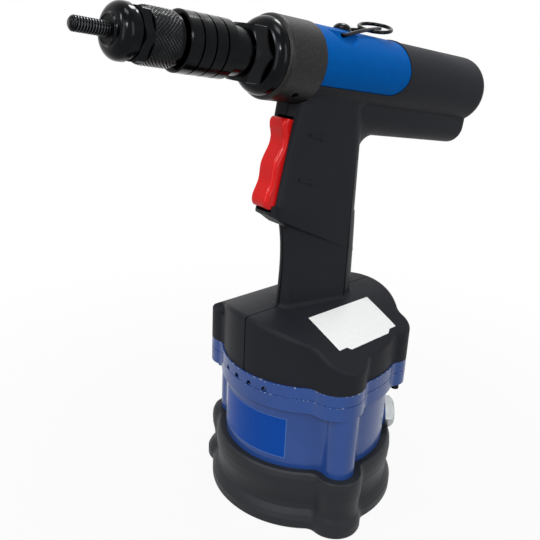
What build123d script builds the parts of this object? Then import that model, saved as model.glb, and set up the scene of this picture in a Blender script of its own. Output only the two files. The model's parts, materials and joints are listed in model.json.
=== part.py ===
"""Pneumatic rivet nut tool: spin-pull head, pistol grip and air-over-oil base.

Millimetres. The origin is the centre of the foot, +Z is up, the nose points to -X and the
head line is tilted nose-up in the XZ plane.
"""
import os
from math import acos, atan2, cos, hypot, pi, radians, sin, sqrt

from build123d import *

# Head line, shared by the mandrel, the pulling piston and the air motor
head_height = 250.6
head_tilt = 8.9

# Fits
clearance = 0.1
gap = 0.3
seam_gap = 0.3
round_shares = (1.0, 0.85, 0.7, 0.5)

# Nose, as lengths stacked forward from the front of the grip
grip_front = 22.5
head_length = 23.5
cap_length = 6.0
lock_nut_length = 9.6
neck_length = 9.6
sleeve_length = 26.6
adjuster_gap = 1.8
adjuster_ring = 1.6
knurl_length = 13.9
adjuster_hex_length = 4.7
anvil_gap = 2.8
anvil_rim = 2.0
anvil_dome = 4.6
anvil_face = 1.4
mandrel_reach = 16.0

mandrel_radius = 3.2
mandrel_shank_radius = 3.0
mandrel_chamfer = 0.9
mandrel_head_across = 9.0
mandrel_head_length = 5.6
anvil_face_radius = 6.3
anvil_radius = 12.0
anvil_neck_radius = 10.8
anvil_spigot_radius = 8.6
anvil_spigot_length = 9.0
adjuster_across = 22.4
adjuster_corner_radius = 12.4
knurl_radius = 12.0
adjuster_ring_radius = 11.4
adjust_back = 1.5
sleeve_radius = 13.4
sleeve_bore = 8.4
sleeve_edge = 0.6
sleeve_groove_count = 3
sleeve_groove_width = 0.9
sleeve_groove_depth = 0.6
sleeve_nose_radius = 9.7
sleeve_nose_length = 7.0
neck_radius = 11.2
shank_radius = 10.3
shank_depth = 7.6
lock_nut_across = 26.0
lock_nut_corner_radius = 14.9
nut_chamfer = 1.1

# Pulling head
head_radius = 20.2
head_edge_radius = 18.5
head_edge_length = 2.6
cap_face_radius = 14.7
cap_bulge = 0.9
cap_spigot_radius = 16.3
cap_spigot_length = 43.5
cap_mouth_length = 18.0
cylinder_bore = 14.0
cylinder_wall = 2.4
cylinder_end_wall = 6.0
oil_gap = 3.0
piston_length = 9.0
piston_seal_width = 3.0
piston_seal_depth = 2.4
rod_radius = 7.6
rod_seal_width = 3.0
rod_seal_depth = 2.3
shaft_radius = 4.9
collar_radius = 8.0
collar_length = 4.0
bearing_length = 1.9
pull_stroke = 7.0
return_room = 29.5
return_wire = 1.2
return_turns = 6
chuck_radius = 7.9
chuck_length = 24.0
chuck_socket_length = 12.0
shaft_hex_across = 8.0
set_screw_station = 33.4
set_screw_angle = 140.5
set_screw_radius = 2.1
set_screw_depth = 2.5
set_screw_sink = 0.4
set_screw_socket = 1.1
edge_lean = 0.3
edge_swell = 0.72

# Air motor and its reduction, stacked rearward behind the pulling cylinder
carrier_gap = 3.0
carrier_hub_length = 12.0
carrier_hub_radius = 7.5
carrier_disc_length = 4.0
carrier_radius = 13.2
planet_length = 9.0
planet_room = 11.0
plate_length = 4.0
motor_length = 34.0
motor_radius = 17.4
motor_bore = 13.6
motor_offset = 1.5
rotor_radius = 11.8
rotor_shaft_radius = 3.0
bearing_radius = 8.0
vane_count = 5
vane_width = 2.0
vane_depth = 6.0
sun_teeth = 12
planet_teeth = 15
planet_count = 3
gear_module = 0.7
planet_pin_radius = 2.0

# Motor barrel of the grip
barrel_wall = 2.2
barrel_rear = -124.0
barrel_end_round = 8.0
barrel_end_room = 3.0
lobe_drop = 32.5
lobe_front_width = 12.4
lobe_rear_width = 10.8
lobe_front = -4.0
lobe_rear = -120.5
lobe_end_round = 4.0
tail_share = 0.85

# Saddle cover, hanger and bleed plug
saddle_length = 66.9
saddle_drop = 9.0
saddle_corner = 14.0
saddle_gap = 0.3
saddle_rim_width = 1.5
saddle_rim_height = 0.5
scoop_radius = 7.6
scoop_out = 15.6
scoop_up = 19.2
scoop_outline = ((13.1, 3.1), (4.1, -4.5), (-3.9, -4.5), (-14.9, 3.1))
scoop_run = 3.0
hanger_station = 3.4
hanger_up = 16.4
hanger_out = 10.8
hanger_foot = 4.6
hanger_wire = 1.0
hanger_ring = 9.5
hanger_ring_back = 33.9
hanger_ring_up = 8.2
hanger_ring_tilt = 20.0
hanger_ring_sides = 9
hanger_knee_back = 15.4
hanger_knee_up = 4.2
hanger_knee_out = 8.6
hanger_neck_out = 1.8
hanger_neck_share = 0.98
hanger_bend = 1.6
plug_station = -5.0
plug_head_radius = 5.0
plug_head_height = 3.0
plug_shank_radius = 3.0
plug_depth = 3.4

# Handle: egg-shaped sections, narrow in front and round behind. Heights count up from the
# cover's crown or down from the head line; ends are the front and the rear of each section.
handle_root_sink = 22.3
handle_foot_rise = 0.7
handle_waist_share = 0.47
handle_top_drop = 78.6
handle_ends = ((-28.2, 27.2), (-27.0, 26.0), (-25.5, 25.4), (-28.2, 24.3))
handle_nose_width = 5.0
handle_nose_round = 4.4
handle_palm_round = 12.0
throat_ends = (-37.3, 25.2)
throat_drop = 74.0
throat_width = 7.6
throat_slope_angle = 26.0
shoulder_ends = (-38.6, 23.6)
shoulder_drop = 66.6
shoulder_width = 9.0
shoulder_slope_angle = 18.0
crown_ends = (-25.6, 22.6)
crown_drop = 9.6
crown_width = 11.5
body_round = 4.0
crown_palm_round = 13.0
lip_outline = (
    (-31.0, 79.1),
    (-37.5, 74.2),
    (-41.6, 71.8),
    (-43.6, 69.4),
    (-42.8, 67.2),
    (-36.0, 66.0),
)
lip_width = 6.6
lip_round = 5.0
blend_round = 6.0
blend_rear = -40.0
blend_front = 12.0
cove_round = 2.5
edge_margin = 1.0

# Strip let into the back of the handle, wrapped round a core
strip_low_rise = 3.2
strip_high_drop = 47.6
strip_front = 13.8
strip_core_place = 12.0
strip_core_radius = 8.8
strip_gap = 0.25

# Trigger, in its own frame: up along the trigger and forward out of the handle
trigger_front = -33.5
trigger_drop = 45.6
trigger_lean_angle = 13.0
trigger_half_width = 5.5
trigger_up = 22.5
trigger_down = 24.0
trigger_edge = 2.5
trigger_back = 7.0
trigger_pivot_in = 3.5
trigger_side_gap = 0.4
trigger_end_gap = 1.4
trigger_scoops = ((20.0, 5.4), (12.6, 2.8), (-2.0, 5.6), (-10.4, 5.0), (-20.4, 6.7))
trigger_end_out = 4.4
pin_radius = 1.5
pin_half_length = 8.2
valve_spread = 12.0
valve_radius = 2.0
valve_length = 6.2
valve_block_front = 10.0
valve_block_rear = 15.0
valve_block_half_height = 18.0
valve_block_half_width = 8.0

# Base, as heights above the floor; the boot's profile is height and how far the wall stands out
boot_floor = 6.0
boot_height = 36.0
boot_wall = 4.7
boot_profile = (
    (0.0, 1.9),
    (1.2, 2.9),
    (6.0, 2.9),
    (9.0, 1.6),
    (12.0, -0.4),
    (15.0, -0.9),
    (19.0, -0.5),
    (24.0, 0.5),
    (29.0, 0.8),
    (32.5, 0.5),
    (35.0, -0.4),
    (boot_height, -1.4),
)
boot_lobe_wall = 4.6
boot_lobe_shares = (0.5, 1.1)
boot_blend = 7.0
cup_floor = 5.0
cylinder_radius = 48.3
cylinder_wall_base = 3.3
cylinder_cove = 1.8
flange_bottom = 74.4
flange_length = 8.3
plate_thickness = 7.0
plate_groove = 0.4
flange_radius = 51.6
cover_radius = 50.8
cover_crown = 122.3
cover_roof_radius = 88.0
cover_edge = 2.6
cover_cavity_radius = 43.0
cover_cavity_height = 12.0
ear_angles = (66.3, 127.3, 245.5, 307.3)
ear_circles = (48.4, 48.4, 44.5, 48.4)
ear_radii = (9.2, 10.9, 16.0, 9.2)
ear_fillet = 7.0
boss_angles = (248.0, 118.0)
boss_circles = (51.0, 47.0)
boss_radii = (9.2, 8.0)
boss_blend = 8.0
bolt_circle = 53.0
bolt_radius = 2.3
bolt_head_radius = 3.6
bolt_head_height = 5.0
bolt_end = 5.6
port_count = 4
port_side_angle = 180.0
port_pitch_angle = 11.6
port_width = 3.4
port_height = 3.2
port_depth = 8.0
felt_depth = 4.0
felt_half_angle = 27.0
inlet_angle = 322.0
inlet_height = 43.8
inlet_across = 16.8
inlet_chamfer = 1.6
inlet_length = 5.7
inlet_pad_radius = 8.4
inlet_pad = 0.9
inlet_spigot_radius = 6.7
inlet_thread_radius = 5.7
inlet_depth = 9.0
inlet_port_radius = 2.5

# Air piston, ram and oil tube
air_piston_length = 10.0
air_piston_lift = 0.3
air_seal_width = 4.0
air_seal_depth = 3.0
bumper_height = 5.6
bumper_outer = 30.0
bumper_inner = 18.0
ram_radius = 5.0
ram_top = 100.0
ram_nut_across = 10.0
ram_nut_height = 5.0
ram_stud_radius = 3.0
tube_radius = 7.4
tube_top_drop = 38.6
tube_collar_radius = 12.0
tube_collar_height = 3.0
ram_seal_depth = 1.4
ram_seal_height = 4.0
oil_boss_radius = 9.6
oil_boss_depth = 6.0
oil_port_radius = 1.3
piston_spring_radius = 30.0
piston_spring_wire = 1.6
piston_spring_turns = 5

# Housing screws, all driven from the far side: place along the tool, height, tip and seat.
# Heights count up from the cover's crown, or down from the head line.
screw_radius = 1.75
screw_head_radius = 3.2
screw_head_height = 2.4
cover_screws = (
    (-38.0, -11.3, -9.0, 12.0),
    (38.0, -11.3, -9.0, 12.0),
    (-15.5, 17.7, -4.6, 2.2),
)
barrel_screws = (
    (16.5, 39.6, -7.0, 6.5),
    (62.0, 34.6, -8.0, 7.5),
    (108.0, 41.7, -7.0, 6.5),
)

# Worked out: head line
tilt = radians(head_tilt)
forward = Vector(-cos(tilt), 0, sin(tilt))
head_origin = Vector(0, 0, head_height)
HEAD = Plane(origin=head_origin, x_dir=forward, z_dir=(0, 1, 0))
HEAD_AXIS = Axis(head_origin, forward)

# Worked out: stations of the nose, each counted forward along the head line
head_front = grip_front + head_length
cap_front = head_front + cap_length
nut_front = cap_front + lock_nut_length
sleeve_rear = nut_front + neck_length
sleeve_front = sleeve_rear + sleeve_length
adjuster_rear = sleeve_front + adjuster_gap
knurl_rear = adjuster_rear + adjuster_ring
knurl_front = knurl_rear + knurl_length
adjuster_front = knurl_front + adjuster_hex_length
anvil_rear = adjuster_front + anvil_gap
anvil_front = anvil_rear + anvil_rim + anvil_dome + anvil_face
mandrel_tip = anvil_front + mandrel_reach

# Worked out: stations of the pulling head and the motor, counted the same way
spigot_rear = head_front - cap_spigot_length
mouth_rear = head_front - cap_mouth_length
piston_front = spigot_rear - oil_gap
piston_rear = piston_front - piston_length
cylinder_rear = piston_rear - return_room
casting_rear = cylinder_rear - cylinder_end_wall
rod_front = nut_front
chuck_rear = rod_front + bearing_length + 2 * clearance
chuck_front = chuck_rear + chuck_length
socket_front = chuck_rear + chuck_socket_length
hub_front = casting_rear - carrier_gap
disc_front = hub_front - carrier_hub_length
planet_front = disc_front - carrier_disc_length
front_plate = planet_front - planet_room
motor_front = front_plate - plate_length
motor_rear = motor_front - motor_length
rear_plate = motor_rear - plate_length
shaft_rear = hub_front - carrier_hub_length + pull_stroke + gap
casting_radius = cylinder_bore + cylinder_wall
barrel_radius = motor_radius + barrel_wall
sun_radius = gear_module * sun_teeth / 2
planet_radius = gear_module * planet_teeth / 2
planet_circle = sun_radius + planet_radius
ring_teeth = sun_teeth + 2 * planet_teeth

# Worked out: heights of the base
cup_bottom = boot_floor
cup_inside = cup_bottom + cup_floor
flange_top = flange_bottom + flange_length
cover_bottom = flange_top + plate_thickness
base_bore = cylinder_radius - cylinder_wall_base
bumper_top = cup_inside + bumper_height
air_piston_bottom = bumper_top + air_piston_lift
air_piston_top = air_piston_bottom + air_piston_length
boot_inner = cylinder_radius + clearance
boot_outer = boot_inner + boot_wall
tube_top = head_height - tube_top_drop
oil_boss_bottom = tube_top - oil_boss_depth

# Worked out: heights of the handle and its screws
handle_foot = cover_crown + handle_foot_rise
handle_top = head_height - handle_top_drop
handle_heights = (
    cover_crown - handle_root_sink,
    handle_foot,
    handle_foot + handle_waist_share * (handle_top - handle_foot),
    handle_top,
)
strip_low = cover_crown + strip_low_rise
strip_high = head_height - strip_high_drop
screw_places = [(x, cover_crown + rise, tip, seat) for x, rise, tip, seat in cover_screws]
screw_places += [(x, head_height - drop, tip, seat) for x, drop, tip, seat in barrel_screws]

# Worked out: trigger frame
lean = radians(trigger_lean_angle)
TRIGGER = Plane(
    origin=(trigger_front, 0, head_height - trigger_drop),
    x_dir=(sin(lean), 0, cos(lean)),
    z_dir=(0, -1, 0),
)

os.makedirs("parts", exist_ok=True)


def write(builder, name):
    """Label a finished piece and write it to its own file."""
    builder.part.label = name
    export_step(builder.part, f"parts/{name}.step")


def across(station):
    """Plane square to the head line, local x to the near side and local y up."""
    return Plane(origin=HEAD.from_local_coords((station, 0, 0)), x_dir=(0, -1, 0), z_dir=forward)


def head_point(station, out, up):
    """Point in the part's frame from a station, a distance to the near side and a height."""
    return HEAD.from_local_coords((station, up, -out))


def polar(radius, angle):
    """Point on a circle about the part's upright axis."""
    return (radius * cos(radians(angle)), radius * sin(radians(angle)))


def turned(*profile):
    """Solid of revolution about the head line from (station, radius) corners."""
    with BuildPart() as piece:
        with BuildSketch(HEAD):
            with BuildLine():
                Polyline(*profile, close=True)
            make_face()
        revolve(axis=HEAD_AXIS)
    return piece.part


def upright(*profile):
    """Solid of revolution about the part's upright axis from (radius, height) corners."""
    with BuildPart() as piece:
        with BuildSketch(Plane.XZ):
            with BuildLine():
                Polyline(*profile, close=True)
            make_face()
        revolve(axis=Axis.Z)
    return piece.part


def head_cylinder_solid(rear, front, radius):
    """Plain cylinder on the head line."""
    return turned((rear, 0), (rear, radius), (front, radius), (front, 0))


def head_ring(rear, front, inner, outer):
    """Plain ring on the head line."""
    return turned((rear, inner), (rear, outer), (front, outer), (front, inner))


def base_ring(low, high, inner, outer):
    """Plain ring on the upright axis."""
    return upright((inner, low), (outer, low), (outer, high), (inner, high))


def head_hex(rear, front, flats):
    """Hexagonal bar on the head line, given across its flats."""
    with BuildPart() as piece:
        with BuildSketch(across(rear)):
            RegularPolygon(flats / 2, 6, major_radius=False)
        extrude(amount=front - rear)
    return piece.part


def coil(place, radius, length, turns, wire):
    """Compression spring: quarter turns of a helix, each drawn as two tangent arcs."""
    steps = turns * 4
    climb = length / (turns * 2 * pi)

    def point(angle):
        local = (radius * cos(angle), radius * sin(angle), climb * angle)
        return place.from_local_coords(local)

    def heading(angle):
        ahead = point(angle + 1e-4) - point(angle - 1e-4)
        return ahead.normalized()

    with BuildPart() as piece:
        with BuildLine():
            for step in range(steps):
                low, high = step * pi / 2, (step + 1) * pi / 2
                start, end = point(low), point(high)
                leave, arrive = heading(low), heading(high)
                chord = end - start
                spread = 1 - leave.dot(arrive)
                along = chord.dot(leave + arrive)
                reach = (sqrt(along**2 + 2 * spread * chord.dot(chord)) - along) / (2 * spread)
                turn_out, turn_in = start + leave * reach, end - arrive * reach
                middle = (turn_out + turn_in) * 0.5
                TangentArc(start, middle, tangent=leave)
                TangentArc(middle, end, tangent=turn_in - turn_out)
        with BuildSketch(Plane(origin=point(0), z_dir=heading(0))):
            Circle(wire)
        sweep()
    return piece.part


def lobed_plan(height, radius, inset):
    """Round plan with an ear at each tie bolt, at a height and drawn in by an inset."""
    with BuildSketch(Plane.XY.offset(height)) as plan:
        Circle(radius - inset)
        for angle, circle, ear in zip(ear_angles, ear_circles, ear_radii):
            with Locations(polar(circle, angle)):
                Circle(ear - inset)
        fillet(plan.vertices(), ear_fillet)
    return plan.sketch


def cup_plan(height, grow):
    """Round plan of the air cylinder with its bosses, at a height and grown outward."""
    with BuildSketch(Plane.XY.offset(height)) as plan:
        Circle(cylinder_radius + grow)
        for circle, angle, radius in zip(boss_circles, boss_angles, boss_radii):
            with Locations(polar(circle, angle)):
                Circle(radius + grow)
        fillet(plan.vertices(), boss_blend - grow)
    return plan.sketch


def round_off(edges, radius):
    """Round edges of the current piece, by less where the form is too tight for the radius."""
    for share in round_shares:
        try:
            return fillet(edges, radius * share)
        except ValueError:
            continue


# Mandrel
with BuildPart() as mandrel:
    add(turned(
        (socket_front - clearance, 0),
        (socket_front - clearance, mandrel_shank_radius),
        (anvil_front, mandrel_shank_radius),
        (anvil_front, mandrel_radius),
        (mandrel_tip - mandrel_chamfer, mandrel_radius),
        (mandrel_tip, mandrel_radius - mandrel_chamfer),
        (mandrel_tip, 0),
    ))
    add(head_hex(socket_front - clearance - mandrel_head_length, socket_front - clearance,
                 mandrel_head_across))
write(mandrel, "mandrel")

# Anvil: a face round the mandrel, a dome, a rim and the spigot that screws into the adjuster
with BuildPart() as anvil:
    with BuildSketch(HEAD):
        with BuildLine():
            bore = mandrel_radius + gap
            spigot_end = adjuster_front - anvil_spigot_length
            dome_end = anvil_front - anvil_face
            rim_front = anvil_rear + anvil_rim
            swell = edge_lean * (anvil_radius - anvil_face_radius)
            Polyline(
                (dome_end, anvil_face_radius),
                (anvil_front, anvil_face_radius),
                (anvil_front, bore),
                (spigot_end, bore),
                (spigot_end, anvil_spigot_radius),
                (adjuster_front, anvil_spigot_radius),
                (adjuster_front, anvil_neck_radius),
                (anvil_rear, anvil_neck_radius),
                (anvil_rear, anvil_radius),
                (rim_front, anvil_radius),
            )
            ThreePointArc(
                (rim_front, anvil_radius),
                (
                    (rim_front + dome_end) / 2 + edge_swell * swell,
                    (anvil_radius + anvil_face_radius) / 2 + swell,
                ),
                (dome_end, anvil_face_radius),
            )
        make_face()
    revolve(axis=HEAD_AXIS)
write(anvil, "anvil")

# Stroke adjuster: knurled barrel with a hex front, bored to turn on the sleeve's nose
with BuildPart() as stroke_adjuster:
    inner_front = adjuster_front - anvil_spigot_length
    add(turned(
        (adjuster_rear, 0),
        (adjuster_rear, adjuster_ring_radius),
        (knurl_rear, adjuster_ring_radius),
        (knurl_rear, knurl_radius),
        (knurl_front, knurl_radius),
        (knurl_front, 0),
    ))
    add(head_hex(knurl_front, adjuster_front, adjuster_across))
    add(turned(
        (adjuster_rear, 0),
        (adjuster_rear, adjuster_corner_radius),
        (adjuster_front - nut_chamfer / 2, adjuster_corner_radius),
        (adjuster_front, adjuster_corner_radius - nut_chamfer),
        (adjuster_front, 0),
    ), mode=Mode.INTERSECT)
    add(head_cylinder_solid(adjuster_rear, inner_front, sleeve_nose_radius + gap), mode=Mode.SUBTRACT)
    add(head_cylinder_solid(inner_front, adjuster_front, anvil_spigot_radius + gap), mode=Mode.SUBTRACT)
write(stroke_adjuster, "stroke_adjuster")

# Nose sleeve: shank, neck, grooved body and threaded nose
with BuildPart() as nose_sleeve:
    nose_end = sleeve_front + min(
        sleeve_nose_length,
        adjuster_front - anvil_spigot_length - sleeve_front - adjust_back - gap,
    )
    add(turned(
        (cap_front - shank_depth, sleeve_bore),
        (cap_front - shank_depth, shank_radius),
        (nut_front, shank_radius),
        (nut_front, neck_radius),
        (sleeve_rear, neck_radius),
        (sleeve_rear, sleeve_radius - sleeve_edge),
        (sleeve_rear + sleeve_edge, sleeve_radius),
        (sleeve_front - sleeve_edge, sleeve_radius),
        (sleeve_front, sleeve_radius - sleeve_edge),
        (sleeve_front, sleeve_nose_radius),
        (nose_end, sleeve_nose_radius),
        (nose_end, sleeve_bore),
    ))
    for groove in range(sleeve_groove_count):
        middle = sleeve_rear + sleeve_length * (groove + 1) / (sleeve_groove_count + 1)
        add(head_ring(
            middle - sleeve_groove_width / 2,
            middle + sleeve_groove_width / 2,
            sleeve_radius - sleeve_groove_depth,
            sleeve_radius + gap,
        ), mode=Mode.SUBTRACT)
write(nose_sleeve, "nose_sleeve")

# Lock nut that jams the sleeve against the head cap
with BuildPart() as sleeve_lock_nut:
    add(head_hex(cap_front, nut_front, lock_nut_across))
    add(turned(
        (cap_front, 0),
        (cap_front, lock_nut_corner_radius - nut_chamfer),
        (cap_front + nut_chamfer / 2, lock_nut_corner_radius),
        (nut_front - nut_chamfer, lock_nut_corner_radius),
        (nut_front, lock_nut_corner_radius - 2 * nut_chamfer),
        (nut_front, 0),
    ), mode=Mode.INTERSECT)
    add(head_cylinder_solid(cap_front, nut_front, shank_radius + clearance), mode=Mode.SUBTRACT)
write(sleeve_lock_nut, "sleeve_lock_nut")

# Drive chuck: hex socket behind, mandrel hole in front
with BuildPart() as drive_chuck:
    add(head_cylinder_solid(chuck_rear, chuck_front, chuck_radius))
    add(head_hex(chuck_rear, socket_front, mandrel_head_across + 2 * clearance), mode=Mode.SUBTRACT)
    add(head_cylinder_solid(socket_front, chuck_front, mandrel_radius + clearance), mode=Mode.SUBTRACT)
write(drive_chuck, "drive_chuck")

# Head cap: rounded front, long guide spigot for the piston rod and a seal groove
with BuildPart() as head_cap:
    seal_front = cap_front - shank_depth - rod_seal_width / 2 - clearance
    rod_bore = rod_radius + clearance
    with BuildSketch(HEAD):
        with BuildLine():
            Polyline(
                (cap_front, cap_face_radius),
                (cap_front, shank_radius + clearance),
                (cap_front - shank_depth - clearance, shank_radius + clearance),
                (cap_front - shank_depth - clearance, rod_bore),
                (seal_front, rod_bore),
                (seal_front, rod_radius + rod_seal_depth + clearance),
                (seal_front - rod_seal_width, rod_radius + rod_seal_depth + clearance),
                (seal_front - rod_seal_width, rod_bore),
                (spigot_rear, rod_bore),
                (spigot_rear, cylinder_bore - clearance),
                (mouth_rear + clearance, cylinder_bore - clearance),
                (mouth_rear + clearance, cap_spigot_radius),
                (head_front, cap_spigot_radius),
                (head_front, head_edge_radius),
            )
            ThreePointArc(
                (head_front, head_edge_radius),
                (
                    (head_front + cap_front) / 2 + cap_bulge,
                    (head_edge_radius + cap_face_radius) / 2 + cap_bulge,
                ),
                (cap_front, cap_face_radius),
            )
        make_face()
    revolve(axis=HEAD_AXIS)
write(head_cap, "head_cap")

with BuildPart() as rod_seal:
    add(head_ring(
        seal_front - rod_seal_width, seal_front, rod_bore, rod_radius + rod_seal_depth + clearance
    ))
write(rod_seal, "rod_seal")

# Head cylinder: bare casting in front, slimmer barrel under the saddle, oil boss below
with BuildPart() as head_cylinder:
    with BuildSketch(HEAD):
        with BuildLine():
            mouth = cap_spigot_radius + clearance
            Polyline(
                (head_front - head_edge_length, head_radius),
                (grip_front, head_radius),
                (grip_front, casting_radius),
                (casting_rear, casting_radius),
                (casting_rear, shaft_radius + gap),
                (cylinder_rear, shaft_radius + gap),
                (cylinder_rear, cylinder_bore),
                (mouth_rear, cylinder_bore),
                (mouth_rear, mouth),
                (head_front, mouth),
                (head_front, head_edge_radius),
            )
            ThreePointArc(
                (head_front, head_edge_radius),
                (
                    head_front - edge_lean * head_edge_length,
                    head_edge_radius + edge_swell * (head_radius - head_edge_radius),
                ),
                (head_front - head_edge_length, head_radius),
            )
        make_face()
    revolve(axis=HEAD_AXIS)
    with BuildSketch(Plane.XY.offset(oil_boss_bottom)):
        Circle(oil_boss_radius)
    extrude(amount=head_height - oil_boss_bottom)
    add(head_cylinder_solid(cylinder_rear, mouth_rear, cylinder_bore), mode=Mode.SUBTRACT)
    add(base_ring(oil_boss_bottom, tube_top, 0, tube_radius + clearance), mode=Mode.SUBTRACT)
    chamber = HEAD.from_local_coords(((spigot_rear + piston_front) / 2, -cylinder_bore, 0))
    with BuildSketch(Plane.XY.offset(tube_top)):
        with Locations((chamber.X, 0)):
            Circle(oil_port_radius)
    extrude(amount=head_height - tube_top, mode=Mode.SUBTRACT)
    screw_turn = radians(set_screw_angle)
    screw_out = Vector(0, -sin(screw_turn), 0) + HEAD.y_dir * cos(screw_turn)
    screw_floor = head_point(set_screw_station, 0, 0) + screw_out * (head_radius - set_screw_depth)
    SET_SCREW = Plane(origin=screw_floor, x_dir=forward, z_dir=screw_out)
    with BuildSketch(SET_SCREW):
        Circle(set_screw_radius)
    extrude(amount=2 * set_screw_depth, mode=Mode.SUBTRACT)
write(head_cylinder, "head_cylinder")

# Set screw that keeps the cap from turning
with BuildPart() as set_screw:
    with BuildSketch(SET_SCREW):
        Circle(set_screw_radius - clearance / 2)
    extrude(amount=set_screw_depth - set_screw_sink)
    with BuildSketch(SET_SCREW.offset(set_screw_depth - set_screw_sink)):
        RegularPolygon(set_screw_socket, 6)
    extrude(amount=-set_screw_depth / 2, mode=Mode.SUBTRACT)
write(set_screw, "set_screw")

# Pulling piston with its hollow rod, and the seal in its groove
with BuildPart() as pull_piston:
    rod_hole = shaft_radius + clearance
    piston_radius = cylinder_bore - clearance
    groove_rear = piston_rear + (piston_length - piston_seal_width) / 2
    groove_front = groove_rear + piston_seal_width
    groove_radius = piston_radius - piston_seal_depth
    add(turned(
        (piston_rear, rod_hole),
        (piston_rear, piston_radius),
        (groove_rear, piston_radius),
        (groove_rear, groove_radius),
        (groove_front, groove_radius),
        (groove_front, piston_radius),
        (piston_front, piston_radius),
        (piston_front, rod_radius),
        (rod_front, rod_radius),
        (rod_front, rod_hole),
    ))
write(pull_piston, "pull_piston")

with BuildPart() as pull_piston_seal:
    add(head_ring(groove_rear, groove_front, groove_radius, cylinder_bore - clearance / 2))
write(pull_piston_seal, "pull_piston_seal")

with BuildPart() as return_spring:
    spring_inset = return_wire + gap
    add(coil(
        Plane(origin=HEAD.from_local_coords((cylinder_rear + spring_inset, 0, 0)), z_dir=forward),
        cylinder_bore - return_wire - gap,
        return_room - 2 * spring_inset,
        return_turns,
        return_wire,
    ))
write(return_spring, "return_spring")

# Drive shaft: collar behind the piston, a hex end for the carrier and one for the chuck
shaft_collar = piston_rear - bearing_length - 2 * clearance
with BuildPart() as drive_shaft:
    round_rear = hub_front + pull_stroke + gap
    add(head_hex(shaft_rear, round_rear, shaft_hex_across))
    add(turned(
        (round_rear, 0),
        (round_rear, shaft_radius),
        (shaft_collar - collar_length, shaft_radius),
        (shaft_collar - collar_length, collar_radius),
        (shaft_collar, collar_radius),
        (shaft_collar, shaft_radius),
        (chuck_rear - clearance, shaft_radius),
        (chuck_rear - clearance, 0),
    ))
    add(head_hex(
        chuck_rear - clearance,
        socket_front - mandrel_head_length - 2 * clearance,
        mandrel_head_across,
    ))
write(drive_shaft, "drive_shaft")

with BuildPart() as thrust_bearings:
    rear_washer = piston_rear - clearance - bearing_length
    front_washer = rod_front + clearance
    add(head_ring(rear_washer, rear_washer + bearing_length, rod_hole, collar_radius))
    add(head_ring(front_washer, front_washer + bearing_length, rod_hole, rod_radius))
write(thrust_bearings, "thrust_bearings")

# Planet carrier, planets and ring gear
with BuildPart() as planet_carrier:
    add(head_cylinder_solid(disc_front, hub_front, carrier_hub_radius))
    add(head_hex(disc_front, hub_front, shaft_hex_across + 2 * clearance), mode=Mode.SUBTRACT)
    add(head_cylinder_solid(planet_front, disc_front, carrier_radius))
    with BuildSketch(across(planet_front)):
        with PolarLocations(planet_circle, planet_count):
            Circle(planet_pin_radius)
    extrude(amount=gap - planet_room)
write(planet_carrier, "planet_carrier")

for index in range(planet_count):
    with BuildPart() as planet:
        with BuildSketch(across(planet_front - gap - planet_length)):
            with Locations(polar(planet_circle, index * 360 / planet_count)):
                Circle(planet_radius - clearance)
                Circle(planet_pin_radius + clearance, mode=Mode.SUBTRACT)
        extrude(amount=planet_length)
    write(planet, f"planet_gear_{index + 1}")

with BuildPart() as ring_gear:
    add(head_ring(front_plate, planet_front, planet_circle + planet_radius + clearance, motor_radius))
write(ring_gear, "ring_gear")

# Air motor
bearing_width = plate_length - gap
with BuildPart() as motor_front_plate:
    add(head_ring(motor_front, front_plate, sun_radius + gap, motor_radius))
    add(head_cylinder_solid(motor_front, motor_front + bearing_width, bearing_radius), mode=Mode.SUBTRACT)
write(motor_front_plate, "motor_front_plate")

with BuildPart() as motor_cylinder:
    with BuildSketch(across(motor_rear)):
        Circle(motor_radius)
        with Locations((0, motor_offset)):
            Circle(motor_bore, mode=Mode.SUBTRACT)
    extrude(amount=motor_length)
write(motor_cylinder, "motor_cylinder")

rotor_length = motor_length - 2 * gap
with BuildPart() as motor_rotor:
    add(head_cylinder_solid(motor_rear + gap, motor_front - gap, rotor_radius))
    add(head_cylinder_solid(rear_plate + gap, planet_front - gap, rotor_shaft_radius))
    add(head_cylinder_solid(planet_front - gap - planet_length, planet_front - gap, sun_radius - clearance))
    with BuildSketch(across(motor_rear + gap)):
        with PolarLocations(rotor_radius - vane_depth / 2, vane_count):
            Rectangle(vane_depth, vane_width + 2 * clearance)
    extrude(amount=rotor_length, mode=Mode.SUBTRACT)
write(motor_rotor, "motor_rotor")

with BuildPart() as rotor_vanes:
    with BuildSketch(across(motor_rear + gap)):
        with PolarLocations(rotor_radius - vane_depth / 2, vane_count):
            Rectangle(vane_depth - 2 * clearance, vane_width)
    extrude(amount=rotor_length)
write(rotor_vanes, "rotor_vanes")

with BuildPart() as motor_rear_plate:
    add(head_cylinder_solid(rear_plate, motor_rear, motor_radius))
    add(head_cylinder_solid(motor_rear - bearing_width, motor_rear, bearing_radius), mode=Mode.SUBTRACT)
write(motor_rear_plate, "motor_rear_plate")

with BuildPart() as motor_bearings:
    bearing_bore = rotor_shaft_radius + clearance
    add(head_ring(motor_front, motor_front + bearing_width, bearing_bore, bearing_radius))
    add(head_ring(motor_rear - bearing_width, motor_rear, bearing_bore, bearing_radius))
write(motor_bearings, "motor_bearings")

# Outline of the saddle in the side view of the head
saddle_rear = grip_front - saddle_length


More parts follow.
